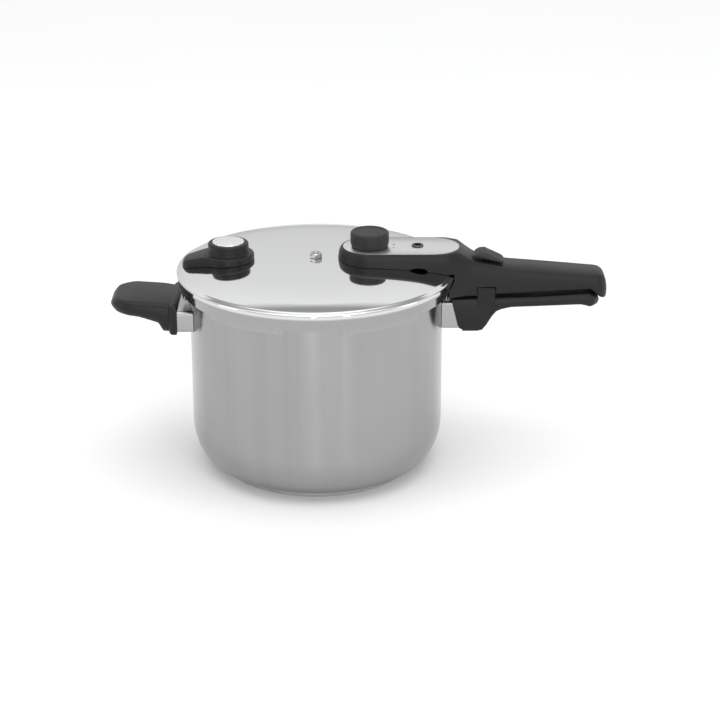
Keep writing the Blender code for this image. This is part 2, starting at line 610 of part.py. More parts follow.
def make_window_ring(frame):
    barrel = WINDOW_RADIUS - 0.0009
    under = HEAD_TOP_Z + GAP
    top = under + 0.0009
    profile = [(WINDOW_BORE, top), (WINDOW_RADIUS - 0.0004, top), (WINDOW_RADIUS, top - 0.0004),
               (WINDOW_RADIUS, under), (barrel, under), (barrel, HEAD_ROOF_Z + GAP),
               (WINDOW_BORE, HEAD_ROOF_Z + GAP)]
    add("window_ring", spin_profile(profile, 24), frame, MIRROR_STEEL)


def make_knob(frame):
    under = HEAD_TOP_Z + RUNNING
    low = VALVE_TOP_Z + 0.0009
    profile = [(0, KNOB_TOP_Z)]
    profile += arc((KNOB_RADIUS - 0.0030, KNOB_TOP_Z - 0.0030), 0.0030, 90, 0, 3)
    profile += [(KNOB_RADIUS, under + 0.0012), (KNOB_RADIUS - 0.0012, under),
                (KNOB_SHAFT_RADIUS, under), (KNOB_SHAFT_RADIUS, low), (0, low)]
    add("pressure_knob", spin_profile(profile, 32), frame, BLACK_PLASTIC)


def hexagon(radius, low, high):
    return prism(arc((0, 0), radius, 0, 300, 5), low, high)


def spring(name, frame, radius, wire, low, high, turns):
    """A coil spring whose wire stays clear of both of its seats."""
    curve = bpy.data.curves.new(name, "CURVE")
    curve.dimensions = "3D"
    curve.bevel_depth = wire
    curve.bevel_resolution = 1
    curve.use_fill_caps = True
    count = turns * COIL_STEPS + 1
    path = curve.splines.new("POLY")
    path.points.add(count - 1)
    base, rise = low + wire + GAP, high - low - 2 * (wire + GAP)
    for i, point in enumerate(path.points):
        turn = math.tau * i / COIL_STEPS
        z = base + rise * i / (count - 1)
        point.co = (radius * math.cos(turn), radius * math.sin(turn), z, 1)
    colour, roughness, metallic = PLAIN_STEEL
    curve.materials.append(material(name, colour, roughness, metallic))
    coil = bpy.data.objects.new(name, curve)
    coil.parent = frame
    bpy.context.scene.collection.objects.link(coil)


# Heights inside the regulator, from the lid's surface up
VALVE_FLANGE_LOW = dome_z(REGULATOR_X - VALVE_FLANGE) + GAP
VALVE_SEAL_HIGH = under_dome_z(REGULATOR_X + VALVE_FLANGE) - GAP
VALVE_SEAL_LOW = VALVE_SEAL_HIGH - 0.0015
VALVE_NUT_LOW = VALVE_SEAL_LOW - GAP - 0.004
VALVE_LOW_Z = VALVE_NUT_LOW - 0.0015
VALVE_SEAT_Z = VALVE_LOW_Z + 0.0040
VALVE_TOP_Z = HEAD_ROOF_Z - 0.0020


def make_regulator(frame, plunger_frame):
    """Valve body, nut and seal in the lid, and the sprung plunger that closes the inlet."""
    inlet = 0.0012
    flange_high = VALVE_FLANGE_LOW + 0.0015
    profile = [(VALVE_BORE, VALVE_TOP_Z), (VALVE_RADIUS, VALVE_TOP_Z), (VALVE_RADIUS, flange_high),
               (VALVE_FLANGE, flange_high), (VALVE_FLANGE, VALVE_FLANGE_LOW),
               (VALVE_RADIUS, VALVE_FLANGE_LOW), (VALVE_RADIUS, VALVE_LOW_Z),
               (inlet, VALVE_LOW_Z), (inlet, VALVE_SEAT_Z), (VALVE_BORE, VALVE_SEAT_Z)]
    add("valve_body", spin_profile(profile, 24), frame, PLAIN_STEEL)
    fit = VALVE_RADIUS + GAP
    add("valve_seal", tube(VALVE_FLANGE, fit, VALVE_SEAL_LOW, VALVE_SEAL_HIGH), frame, SILICONE)
    nut = add("valve_nut", hexagon(0.0088, VALVE_NUT_LOW, VALVE_SEAL_LOW - GAP), frame, PLAIN_STEEL)
    cut(nut, disc(fit, VALVE_NUT_LOW - 0.01, VALVE_SEAL_HIGH, steps=24))
    seat = VALVE_SEAT_Z + GAP
    head = seat + 0.0030
    stem = VALVE_TOP_Z - 0.0018
    profile = [(0, stem), (STEM_RADIUS, stem), (STEM_RADIUS, head), (PLUNGER_RADIUS, head),
               (PLUNGER_RADIUS, seat + 0.0012), (0.0017, seat), (0, seat)]
    add("valve_plunger", spin_profile(profile, 20), plunger_frame, PLAIN_STEEL)
    spring("valve_spring", frame, 0.0022, 0.00035, head, VALVE_TOP_Z + 0.0009, 4)


def make_indicator(frame, pin_frame):
    """The pin that rises under pressure, and the silicone grommet that it slides in."""
    flange = 0.0055
    high = dome_z(INDICATOR_X - flange) + GAP
    low = under_dome_z(INDICATOR_X + flange) - GAP
    neck = 0.0036
    fit = INDICATOR_RADIUS + GAP
    profile = [(fit, high + 0.001), (flange, high + 0.001), (flange, high), (neck, high),
               (neck, low), (flange, low), (flange, low - 0.001), (fit, low - 0.001)]
    add("indicator_seal", spin_profile(profile, 20), frame, SILICONE)
    collar = high + 0.001 + GAP
    head = low - 0.001 - INDICATOR_TRAVEL - GAP
    profile = [(0, INDICATOR_TOP_Z), (INDICATOR_RADIUS - 0.0004, INDICATOR_TOP_Z),
               (INDICATOR_RADIUS, INDICATOR_TOP_Z - 0.0004), (INDICATOR_RADIUS, collar + 0.001),
               (0.0032, collar + 0.001), (0.0032, collar), (INDICATOR_RADIUS, collar),
               (INDICATOR_RADIUS, head), (0.0040, head), (0.0040, head - 0.001), (0, head - 0.001)]
    add("indicator_pin", spin_profile(profile, 20), pin_frame, BLACK_PLASTIC)


def make_lock(frame, handle):
    """Slider and bolt, drawn along the slope of the neck, and their ways in the handle."""
    half, wide = SLIDER_HALF_LENGTH, SLIDER_HALF_WIDTH
    base = 0.0006
    side = [(-half, base), (-half, 0.0022), (-half + 0.0035, 0.0068), (-half + 0.0075, 0.0080),
            (-half + 0.0115, 0.0062), (half - 0.003, 0.0036), (half, 0.0018), (half, base)]
    slider = add("lock_slider", prism(side, -wide, wide, "XZ"), frame, BLACK_PLASTIC)
    stem_half = 0.003
    floor = -BOLT_DEPTH
    cut(slider, box((-stem_half, stem_half), (-stem_half, stem_half), (floor + GAP, base + 0.001)),
        "UNION")
    bolt_low = floor - BOLT_SHEET
    tail = 0.006
    front = -0.024
    add("lock_bolt", box((front, tail), (-BOLT_HALF_WIDTH, BOLT_HALF_WIDTH), (bolt_low, floor)),
        frame, PLAIN_STEEL)
    room = BOLT_SHEET / 2 + RUNNING
    middle = (bolt_low + floor) / 2
    slot = stem_half + RUNNING
    cut(handle, box((-slot, slot + SLIDER_TRAVEL), (-slot, slot), (floor - 0.001, 0.02)), parent=frame)
    cut(handle, box((front - RUNNING, tail + SLIDER_TRAVEL + RUNNING),
                    (-BOLT_HALF_WIDTH - RUNNING, BOLT_HALF_WIDTH + RUNNING),
                    (middle - room, middle + room)), parent=frame)
    cut(handle, box((-half - GAP, half + SLIDER_TRAVEL + GAP), (-wide - GAP, wide + GAP),
                    (base - GAP, 0.02)), parent=frame)


def make_safety_valve(frame, pin_frame):
    """A hexagonal body on the lid with a nut and a seal below, and a sprung pin inside."""
    low = DOME_TOP_Z + GAP
    body = add("safety_valve_body", hexagon(SAFETY_HEX, low, SAFETY_TOP_Z), frame, MIRROR_STEEL)
    washer = 0.0065
    seal_high = under_dome_z(washer) - GAP
    seal_low = seal_high - 0.0015
    nut_low = seal_low - GAP - 0.0035
    stem_low = nut_low - 0.001
    roof = SAFETY_TOP_Z - 0.001
    cut(body, disc(SAFETY_STEM, stem_low, low + 0.002, steps=24), "UNION")
    cut(body, disc(SAFETY_BORE, stem_low - 0.01, roof, steps=24))
    pin = 0.0015
    cut(body, disc(pin + RUNNING, roof - 0.001, SAFETY_TOP_Z + 0.01, steps=24))
    fit = SAFETY_STEM + GAP
    add("safety_seal", tube(washer, fit, seal_low, seal_high), frame, SILICONE)
    nut = add("safety_nut", hexagon(0.0072, nut_low, seal_low - GAP), frame, PLAIN_STEEL)
    cut(nut, disc(fit, nut_low - 0.01, seal_high, steps=24))
    seat = stem_low + 0.003
    plug = tube(SAFETY_BORE - GAP, 0.001, stem_low, seat, 20)
    add("safety_seat", plug, frame, PLAIN_STEEL)
    head = seat + GAP + 0.0012
    top = SAFETY_TOP_Z + 0.0003
    profile = [(0, top), (pin - 0.0004, top), (pin, top - 0.0004), (pin, head), (0.0022, head),
               (0.0022, seat + GAP), (0, seat + GAP)]
    add("safety_pin", spin_profile(profile, 20), pin_frame, PLAIN_STEEL)
    spring("safety_spring", frame, 0.0020, 0.00022, head, roof, 5)


def make_aux_handle(lid):
    """The auxiliary handle: a round body with a tongue that slopes out to the lid's edge."""
    recess = 0.0006
    cap = AUX_CAP_RADIUS + GAP
    waist = AUX_STEP_Z - 0.0048
    foot = AUX_STEP_Z - 0.0158
    profile = [(0, AUX_TOP_Z - recess), (cap, AUX_TOP_Z - recess), (cap, AUX_TOP_Z),
               (AUX_COLLAR_RADIUS - 0.001, AUX_TOP_Z), (AUX_COLLAR_RADIUS, AUX_TOP_Z - 0.001),
               (AUX_COLLAR_RADIUS, AUX_STEP_Z), (AUX_RADIUS - 0.001, AUX_STEP_Z),
               (AUX_RADIUS, AUX_STEP_Z - 0.0014), (AUX_RADIUS, waist), (AUX_RADIUS - 0.0030, foot),
               (0, foot)]
    body = spin_profile(profile, 40, (AUX_X, 0))
    body = add("aux_handle", body, lid, BLACK_PLASTIC)
    end = AUX_X - AUX_TONGUE_REACH
    tongue = [(AUX_X - 0.006, 0.0165), (AUX_X - 0.0165, 0.0150), (AUX_X - 0.0277, 0.0126),
              (AUX_X - 0.0337, 0.0095), (AUX_X - 0.0387, 0.0045), (end, 0.0025)]
    plan = [(x, -y) for x, y in tongue] + tongue[::-1]
    cut(body, prism(plan, foot, AUX_STEP_Z - 0.0008), "UNION")
    root, over = AUX_X - AUX_RADIUS - 0.0002, AUX_STEP_Z + 0.001
    slope = [(root, over), (root, AUX_STEP_Z - 0.0013), (end + 0.003, AUX_STEP_Z - 0.0043),
             (end - 0.001, AUX_STEP_Z - 0.0068), (end - 0.001, over)]
    cut(body, prism(slope, -AUX_RADIUS, AUX_RADIUS, "XZ"))
    cut(body, lid_envelope())
    top = AUX_TOP_Z - 0.0055
    cut(body, disc(SCREW_RADIUS + GAP, IN_LID_Z, top, (AUX_X, 0), 16))
    profile = [(0, AUX_TOP_Z + 0.0008), (AUX_CAP_RADIUS - 0.0006, AUX_TOP_Z + 0.0008),
               (AUX_CAP_RADIUS, AUX_TOP_Z + 0.0002), (AUX_CAP_RADIUS, AUX_TOP_Z - recess + GAP),
               (0, AUX_TOP_Z - recess + GAP)]
    add("aux_cap", spin_profile(profile, 32, (AUX_X, 0)), lid, BRUSHED_STEEL)
    return lid_screw("aux_handle_screw", lid, AUX_X, 0, top)


for old in list(bpy.data.objects):
    bpy.data.objects.remove(old)

pot = empty("pot_axis")
make_pot_shell(pot)
make_base(pot)
make_pot_handle(pot)
make_helper_handle(pot)

lid = empty("lid_axis", z=0, parent=pot)
make_sealing_ring(lid)
screw_places = [(0.027, 0.0), (0.070, 0.009), (0.070, -0.009)]
screw_holes = [lid_screw(f"lid_handle_screw_{i + 1}", lid, x, y, HEAD_ROOF_Z + 0.0010)
               for i, (x, y) in enumerate(screw_places)]
screw_holes.append(make_aux_handle(lid))
valve_holes = [(0, 0, SAFETY_STEM + GAP), (REGULATOR_X, 0, VALVE_RADIUS + GAP),
               (INDICATOR_X, 0, 0.0036 + GAP)]
make_lid_shell(lid, screw_holes + valve_holes)
lid_handle = make_lid_handle(lid, screw_places, HEAD_ROOF_Z)
make_cover_plate(lid)

regulator_axis = empty("regulator_axis", REGULATOR_X, parent=lid)
make_regulator(regulator_axis, regulator_axis)
make_knob(regulator_axis)
indicator_axis = empty("indicator_axis", INDICATOR_X, parent=lid)
make_window_ring(indicator_axis)
make_indicator(indicator_axis, indicator_axis)
make_lock(empty("lock_axis", SLIDER_X, SLIDER_Z, SLIDER_SLOPE, lid), lid_handle)
safety_axis = empty("safety_axis", parent=lid)
make_safety_valve(safety_axis, safety_axis)
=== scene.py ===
import json
import math

import bmesh
import bpy
import numpy as np
from mathutils import Matrix, Vector


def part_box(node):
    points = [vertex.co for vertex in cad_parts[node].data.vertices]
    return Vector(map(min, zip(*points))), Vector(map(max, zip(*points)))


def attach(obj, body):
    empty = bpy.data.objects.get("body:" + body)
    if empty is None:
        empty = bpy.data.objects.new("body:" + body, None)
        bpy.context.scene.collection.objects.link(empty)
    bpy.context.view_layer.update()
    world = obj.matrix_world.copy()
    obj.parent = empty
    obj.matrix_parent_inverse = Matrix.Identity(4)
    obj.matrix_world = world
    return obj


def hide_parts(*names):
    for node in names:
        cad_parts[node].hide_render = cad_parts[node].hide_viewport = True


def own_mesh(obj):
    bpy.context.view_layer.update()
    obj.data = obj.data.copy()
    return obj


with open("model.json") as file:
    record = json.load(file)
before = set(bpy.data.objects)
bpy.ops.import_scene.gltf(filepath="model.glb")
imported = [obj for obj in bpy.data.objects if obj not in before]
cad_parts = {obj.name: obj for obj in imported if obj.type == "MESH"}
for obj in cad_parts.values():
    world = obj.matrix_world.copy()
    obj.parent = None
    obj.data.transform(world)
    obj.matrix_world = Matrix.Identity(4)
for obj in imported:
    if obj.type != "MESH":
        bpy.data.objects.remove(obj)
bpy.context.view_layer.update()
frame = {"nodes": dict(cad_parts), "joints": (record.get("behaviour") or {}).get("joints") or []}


# The pot's shell: one deep-drawn sheet of stainless steel, turned out at the top into a rim
# with six bayonet tabs. The wall is brushed round its axis and left satin, and the floor
# inside shows the rings of the spinning lathe.

POT_LOW, POT_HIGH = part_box("pot_shell")
RIM_Z = POT_HIGH[2]
FLOOR_Z = POT_LOW[2]
SHEET = 0.0012
RIM_RADIUS = POT_HIGH[1]
WALL_RADIUS = RIM_RADIUS - 0.0011
TAB_RADIUS = POT_HIGH[0]
BASE_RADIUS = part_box("base_cap")[1][0]
CORNER_TOP_Z = FLOOR_Z + 0.038
TAB_LOW_Z = 0.1636
FACETS = 180
SECTORS = 6


class Signal:
    """One value in a finish, so that maths on it is written as an expression."""

    def __init__(self, finish, socket):
        self.finish = finish
        self.socket = socket

    def maths(self, operation, *terms):
        return self.finish.node("ShaderNodeMath", {"operation": operation}, dict(enumerate(terms)))

    def __add__(self, other):
        return self.maths("ADD", self, other)

    __radd__ = __add__

    def __mul__(self, other):
        return self.maths("MULTIPLY", self, other)

    __rmul__ = __mul__

    def __sub__(self, other):
        return self.maths("SUBTRACT", self, other)

    def __rsub__(self, other):
        return self.maths("SUBTRACT", other, self)

    def __truediv__(self, other):
        return self.maths("DIVIDE", self, other)

    def __rtruediv__(self, other):
        return self.maths("DIVIDE", other, self)

    def __pow__(self, other):
        return self.maths("POWER", self, other)

    def __gt__(self, other):
        return self.maths("GREATER_THAN", self, other)

    def __lt__(self, other):
        return self.maths("LESS_THAN", self, other)


class Finish:
    """The finish of a metal, moulding or rubber, built node by node on one shader."""

    def __init__(self, name, **constants):
        self.material = bpy.data.materials.new(name)
        self.material.use_nodes = True
        self.tree = self.material.node_tree
        self.shader = self.tree.nodes["Principled BSDF"]
        for key, value in constants.items():
            self.shader.inputs[key.replace("_", " ").title().replace("Ior", "IOR")].default_value = value
        self.place = self.node("ShaderNodeTexCoord", output="Object")
        parts = self.tree.nodes.new("ShaderNodeSeparateXYZ")
        self.tree.links.new(self.place.socket, parts.inputs[0])
        self.x, self.y, self.z = (Signal(self, parts.outputs[i]) for i in range(3))

    def node(self, kind, settings=None, inputs=None, output=0):
        made = self.tree.nodes.new(kind)
        for key, value in (settings or {}).items():
            if key == "stops":
                ramp = made.color_ramp
                while len(ramp.elements) < len(value):
                    ramp.elements.new(0.5)
                for element, (position, colour) in zip(ramp.elements, value):
                    element.position = position
                    element.color = colour
            else:
                setattr(made, key, value)
        for key, value in (inputs or {}).items():
            if isinstance(value, Signal):
                self.tree.links.new(value.socket, made.inputs[key])
            else:
                made.inputs[key].default_value = value
        return Signal(self, made.outputs[output])

    def drive(self, name, signal):
        self.tree.links.new(signal.socket, self.shader.inputs[name])

    def noise(self, vector, scale, detail=2.0, rough=0.5):
        inputs = {"Vector": vector, "Scale": scale, "Detail": detail, "Roughness": rough}
        return self.node("ShaderNodeTexNoise", None, inputs)

    def vector(self, x, y, z):
        return self.node("ShaderNodeCombineXYZ", None, {0: x, 1: y, 2: z})

    def range(self, signal, low, high, to_low=0.0, to_high=1.0):
        inputs = {0: signal, 1: low, 2: high, 3: to_low, 4: to_high}
        return self.node("ShaderNodeMapRange", {"interpolation_type": "SMOOTHSTEP"}, inputs)

    def mix(self, share, first, second):
        inputs = {"Factor": share, "A": first, "B": second}
        made = self.tree.nodes.new("ShaderNodeMix")
        made.data_type = "RGBA"
        for key, index in (("Factor", 0), ("A", 6), ("B", 7)):
            value = inputs[key]
            if isinstance(value, Signal):
                self.tree.links.new(value.socket, made.inputs[index])
            else:
                made.inputs[index].default_value = value
        return Signal(self, made.outputs[2])

    def bump(self, height, strength, distance):
        inputs = {"Strength": strength, "Distance": distance, "Height": height}
        self.drive("Normal", self.node("ShaderNodeBump", None, inputs))

    def distance(self, x, y):
        """How far a point is from an upright axis at x, y."""
        return ((self.x - x) ** 2 + (self.y - y) ** 2) ** 0.5


def grey(value, warmth=0.0):
    return (value + warmth, value, value - warmth, 1)


def turned_steel(name, colour, rough, grain, axis=(0.0, 0.0), anisotropic=0.0, smudge=0.05):
    """Steel brushed or polished round an upright axis, in fine rings that fade in and out, with upright bands
    of painted reflection in its colour.
    """
    steel = Finish(name, metallic=1.0, anisotropic=anisotropic, anisotropic_rotation=0.25)
    radius = steel.distance(*axis)
    near = radius + 0.002
    around = steel.vector((steel.x - axis[0]) / near * 4, (steel.y - axis[1]) / near * 4,
                          (steel.z + radius) * grain)
    fine = steel.noise(around, 1.0, 3.0, 0.6)
    cloud = steel.noise(steel.place, 22.0, 3.0)
    # painted reflection: soft upright bands of lighter and darker colour round the axis, standing in for the
    # studio's reflections; the cloud and the fine rings are the steel's own random tone and grain
    painted_reflection_bands = steel.noise(steel.vector((steel.x - axis[0]) / near * 7, (steel.y - axis[1]) / near * 7,
                                      steel.z * 2), 1.0, 4.0, 0.6)
    steel.drive("Base Color", steel.mix(cloud * 0.2 + fine * 0.3 + painted_reflection_bands * 0.5, grey(colour * 0.76, -0.002),
                                        grey(colour * 1.22, 0.002)))
    steel.drive("Roughness", fine * 0.06 + cloud * smudge + (rough - 0.03 - smudge / 2))
    steel.bump(fine, 0.12, 0.00004)
    return steel


def arc(centre, radius, start, end, steps):
    """Points of an arc between two angles in degrees; the radius may differ each way."""
    across, along = radius if isinstance(radius, tuple) else (radius, radius)
    angles = [math.radians(start + (end - start) * i / steps) for i in range(steps + 1)]
    return [(centre[0] + across * math.cos(a), centre[1] + along * math.sin(a)) for a in angles]


def rounded(corners, closed=True, facets=6):
    """An outline through corners (u, v, radius), each rounded off by its radius."""
    points = []
    for i, (u, v, radius) in enumerate(corners):
        corner = Vector((u, v))
        if radius == 0 or (not closed and i in (0, len(corners) - 1)):
            points.append((u, v))
            continue
        before = (Vector(corners[i - 1][:2]) - corner).normalized()
        after = (Vector(corners[(i + 1) % len(corners)][:2]) - corner).normalized()
        half = before.angle(after) / 2
        centre = corner + (before + after).normalized() * radius / math.sin(half)
        first = corner + before * radius / math.tan(half) - centre
        last = corner + after * radius / math.tan(half) - centre
        start = math.degrees(math.atan2(first.y, first.x))
        turn = (math.degrees(math.atan2(last.y, last.x)) - start + 180) % 360 - 180
        points += arc(centre, radius, start, start + turn, facets)
    return points


def turned(profile, facets=FACETS, centre=(0.0, 0.0)):
    """Spins (radius, z) points round an upright axis; ends on the axis close by themselves."""
    bm = bmesh.new()
    verts = [bm.verts.new((radius, 0, z)) for radius, z in profile]
    for first, second in zip(verts, verts[1:]):
        bm.edges.new((first, second))
    if profile[0][0] > 0:
        bm.edges.new((verts[-1], verts[0]))
    bmesh.ops.spin(bm, geom=bm.verts[:] + bm.edges[:], axis=(0, 0, 1), angle=math.tau,
                   steps=facets, use_merge=True)
    bmesh.ops.remove_doubles(bm, verts=bm.verts, dist=1e-6)
    bmesh.ops.recalc_face_normals(bm, faces=bm.faces)
    bmesh.ops.translate(bm, verts=bm.verts, vec=(*centre, 0))
    bm.normal_update()
    return bm


def make(name, bm, finish, sharp=30):
    """Makes the object of a mesh that is already in its place."""
    bmesh.ops.remove_doubles(bm, verts=bm.verts, dist=1e-7)
    bmesh.ops.recalc_face_normals(bm, faces=bm.faces)
    mesh = bpy.data.meshes.new(name)
    bm.to_mesh(mesh)
    bm.free()
    mesh.shade_smooth()
    mesh.set_sharp_from_angle(angle=math.radians(sharp))
    mesh.materials.append(finish.material)
    made = bpy.data.objects.new(name, mesh)
    bpy.context.scene.collection.objects.link(made)
    return made


def fit(made, body, slot, *nodes):
    """Rides a piece on a body in place of CAD nodes. Its slot argument is not used."""
    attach(made, body)
    if nodes:
        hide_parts(*nodes)
    return made


def carve(made, bm, operation="DIFFERENCE", sharp=30):
    """Cuts a mesh out of a piece, or joins or intersects the two, and applies it."""
    bmesh.ops.recalc_face_normals(bm, faces=bm.faces)
    mesh = bpy.data.meshes.new("tool")
    bm.to_mesh(mesh)
    bm.free()
    tool = bpy.data.objects.new("tool", mesh)
    bpy.context.scene.collection.objects.link(tool)
    modifier = made.modifiers.new("carve", "BOOLEAN")
    modifier.operation = operation
    modifier.solver = "EXACT"
    modifier.object = tool
    graph = bpy.context.evaluated_depsgraph_get()
    result = bpy.data.meshes.new_from_object(made.evaluated_get(graph))
    made.modifiers.clear()
    made.data = result
    result.shade_smooth()
    result.set_sharp_from_angle(angle=math.radians(sharp))
    bpy.data.objects.remove(tool)


def pull(bm, faces, move):
    """Extrudes faces and puts their new points where move says."""
    edges = {edge for face in faces for edge in face.edges}
    geometry = bmesh.ops.extrude_face_region(bm, geom=faces + list(edges))["geom"]
    for item in geometry:
        if isinstance(item, bmesh.types.BMVert):
            item.co = move(item.co)
    bm.normal_update()
    return [item for item in geometry if isinstance(item, bmesh.types.BMFace)]


def out_to(radius):
    def move(point):
        scale = radius / math.hypot(point.x, point.y)
        return Vector((point.x * scale, point.y * scale, point.z))
    return move


def in_sector(point, half_angle, middle=0.0):
    """Whether a point lies within half_angle degrees of one of the six tabs' directions."""
    pitch = 360 / SECTORS
    offset = (math.degrees(math.atan2(point.y, point.x)) - middle + pitch / 2) % pitch - pitch / 2
    return abs(offset) < half_angle


satin_steel = turned_steel("satin_pot_steel", 0.345, 0.23, 2600, anisotropic=0.8)

bore = WALL_RADIUS - SHEET
lip = RIM_Z - SHEET
corner = (BASE_RADIUS, CORNER_TOP_Z)
inside = arc(corner, (bore - BASE_RADIUS, CORNER_TOP_Z - FLOOR_Z - SHEET), -90, 0, 18)
outside = arc(corner, (WALL_RADIUS - BASE_RADIUS, CORNER_TOP_Z - FLOOR_Z), 0, -90, 18)
rim = rounded([(bore, RIM_Z - 0.004, 0), (bore, RIM_Z, 0.0006), (RIM_RADIUS, RIM_Z, 0)], False, 4)
pot = turned([(0, FLOOR_Z + SHEET), (BASE_RADIUS / 2, FLOOR_Z + SHEET)] + inside + rim
             + [(RIM_RADIUS, lip), (WALL_RADIUS, lip)] + outside
             + [(BASE_RADIUS / 2, FLOOR_Z), (0, FLOOR_Z)])
edge = [face for face in pot.faces
        if lip < face.calc_center_median().z < RIM_Z - 0.0002
        and math.hypot(*face.calc_center_median().xy) > RIM_RADIUS - 0.0002
        and in_sector(face.calc_center_median(), 12.2)]
edge = pull(pot, edge, out_to(TAB_RADIUS - SHEET))
pull(pot, edge, out_to(TAB_RADIUS))
folded = [face for face in pot.faces if face.normal.z < -0.9
          and math.hypot(*face.calc_center_median().xy) > TAB_RADIUS - SHEET
          and face.calc_center_median().z > lip - 0.0003]
pull(pot, folded, lambda point: Vector((point.x, point.y, TAB_LOW_Z)))
fit(make("pot_drawn_shell", pot, satin_steel), "pot", "satin_steel", "pot_shell")


# The base: an aluminium disc brazed under the pot and closed in by a pressed cap of steel.
# A fine groove runs where the cap's edge meets the pot.

CAP_LOW, CAP_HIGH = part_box("base_cap")
CAP_SHEET = 0.0006

base_steel = turned_steel("base_cap_steel", 0.62, 0.30, 1500, anisotropic=0.3, smudge=0.12)
foot = rounded([(0, CAP_LOW[2], 0), (CAP_HIGH[0], CAP_LOW[2], 0.0016),
                (CAP_HIGH[0], CAP_HIGH[2], 0.0003), (CAP_HIGH[0] - CAP_SHEET, CAP_HIGH[2], 0.0002),
                (CAP_HIGH[0] - CAP_SHEET, CAP_LOW[2] + CAP_SHEET, 0.0008),
                (0, CAP_LOW[2] + CAP_SHEET, 0)], False)
fit(make("base_pressed_cap", turned(foot[::-1]), base_steel), "pot", "satin_steel", "base_cap")

cast_aluminium = turned_steel("aluminium_disc", 0.74, 0.42, 900, smudge=0.15)
frame["nodes"]["base_core"].data.materials[0] = cast_aluminium.material


# Brackets: bent strips of plain steel, spot-welded to the wall. Only their edges show in the
# gap behind the sleeves.

def drawn_steel(name, colour, rough, pitch=0.0):
    """Plain steel from a press or a lathe, with a thread's ridges when it has a pitch."""
    steel = Finish(name, metallic=1.0)
    cloud = steel.noise(steel.place, 160.0, 4.0)
    grain = steel.noise(steel.vector(steel.x * 900, steel.y * 900, steel.z * 4000), 1.0, 2.0)
    steel.drive("Base Color", steel.mix(cloud, grey(colour * 0.82, -0.004), grey(colour * 1.1, 0.004)))
    steel.drive("Roughness", cloud * 0.16 + grain * 0.08 + (rough - 0.12))
    ridges = steel.maths_ridges(pitch) if pitch else grain
    steel.bump(ridges, 0.5 if pitch else 0.15, 0.00025 if pitch else 0.00003)
    return steel


def maths_ridges(finish, pitch):
    return finish.z.maths("SINE", finish.z * (math.tau / pitch))


Finish.maths_ridges = maths_ridges
plain_steel = drawn_steel("plain_steel", 0.52, 0.36)
for node in ("pot_handle_bracket", "helper_bracket"):
    frame["nodes"][node].data.materials[0] = plain_steel.material


# Flame guards: polished steel sleeves that keep the gas flame off the mouldings. Each is a
# folded strip with rounded corners, pushed over its bracket and held by the handle.

def plate(outline, low, high):
    """A flat outline extruded upwards."""
    bm = bmesh.new()
    face = bm.faces.new([bm.verts.new((x, y, low)) for x, y in outline])
    made = bmesh.ops.extrude_face_region(bm, geom=[face])["geom"]
    bmesh.ops.translate(bm, verts=[item for item in made if isinstance(item, bmesh.types.BMVert)],
                        vec=(0, 0, high - low))
    bmesh.ops.recalc_face_normals(bm, faces=bm.faces)
    return bm


def sleeve(name, node, root_x, slant, radius, finish):
    """A tube of rounded-box section along X, from the wall to the root of its handle."""
    low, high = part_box(node)
    side = 1 if root_x > 0 else -1
    wide, tall = high[1], high[2] - low[2]

    def tube(wall, reach):
        outline = [(-wide + wall, low[2] + wall, radius), (wide - wall, low[2] + wall, radius),
                   (wide - wall, high[2] - wall, radius), (-wide + wall, high[2] - wall, radius)]
        bm = plate([(y, z) for y, z in rounded(outline)], 0.0, 1.0)
        for vert in bm.verts:
            y, z, far = vert.co
            lean = slant * (high[2] - z) / tall
            vert.co = (side * (abs(root_x) + lean + reach if far else WALL_RADIUS * 0.9 - reach), y, z)
        return bm

    guard = make(name, tube(0.0, 0.0), finish)
    carve(guard, tube(0.0008, 0.01))
    carve(guard, turned([(0, 0.11), (WALL_RADIUS + 0.0003, 0.11), (WALL_RADIUS + 0.0003, 0.17),
                         (0, 0.17)]))
    fit(guard, "pot", "mirror_steel", node)


def polished_steel(name, colour, rough, waves=0.35):
    """Buffed steel: a mirror with faint wipe marks and the slight waves of a pressing."""
    steel = Finish(name, metallic=1.0)
    wipes = steel.noise(steel.vector(steel.x * 30, steel.y * 90, steel.z * 60), 1.0, 4.0, 0.6)
    cloud = steel.noise(steel.place, 14.0, 2.0)
    steel.drive("Base Color", steel.mix(cloud, grey(colour * 0.97), grey(colour * 1.03)))
    steel.drive("Roughness", wipes * 0.05 + cloud * 0.03 + (rough - 0.04))
    steel.bump(cloud, waves, 0.00012)
    return steel


guard_steel = polished_steel("flame_guard_steel", 0.37, 0.20)
guard_low, guard_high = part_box("pot_flame_guard")
GUARD_SLANT = 0.0062
sleeve("pot_guard_sleeve", "pot_flame_guard", guard_high[0] - GUARD_SLANT, GUARD_SLANT, 0.0022,
       guard_steel)
guard_low, guard_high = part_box("helper_flame_guard")
sleeve("helper_guard_sleeve", "helper_flame_guard", guard_low[0], 0.0, 0.0035, guard_steel)


# Moulded handles: black phenolic with a fine, slightly worn grain. The pot's long grip is
# screwed to its bracket, and its tab stops the lid's handle when the lid is closed.

def phenolic(name, colour=0.010, rough=0.40):
    """Compression-moulded black phenolic: satin, finely grained, shinier where it's rubbed."""
    black = Finish(name, specular_ior_level=0.26)
    grain = black.noise(black.place, 1900.0, 2.0, 0.7)
    flow = black.noise(black.vector(black.x * 18, black.y * 40, black.z * 40), 1.0, 3.0)
    rubbed = black.noise(black.place, 30.0, 3.0)
    tint = black.mix(flow * 0.6 + grain * 0.4, grey(colour * 0.82, -0.001), grey(colour * 1.22, 0.0005))
    black.drive("Base Color", tint)
    black.drive("Roughness", rubbed * 0.12 + grain * 0.06 + (rough - 0.09))
    black.bump(grain * 0.7 + flow * 0.3, 0.35, 0.00006)
    return black


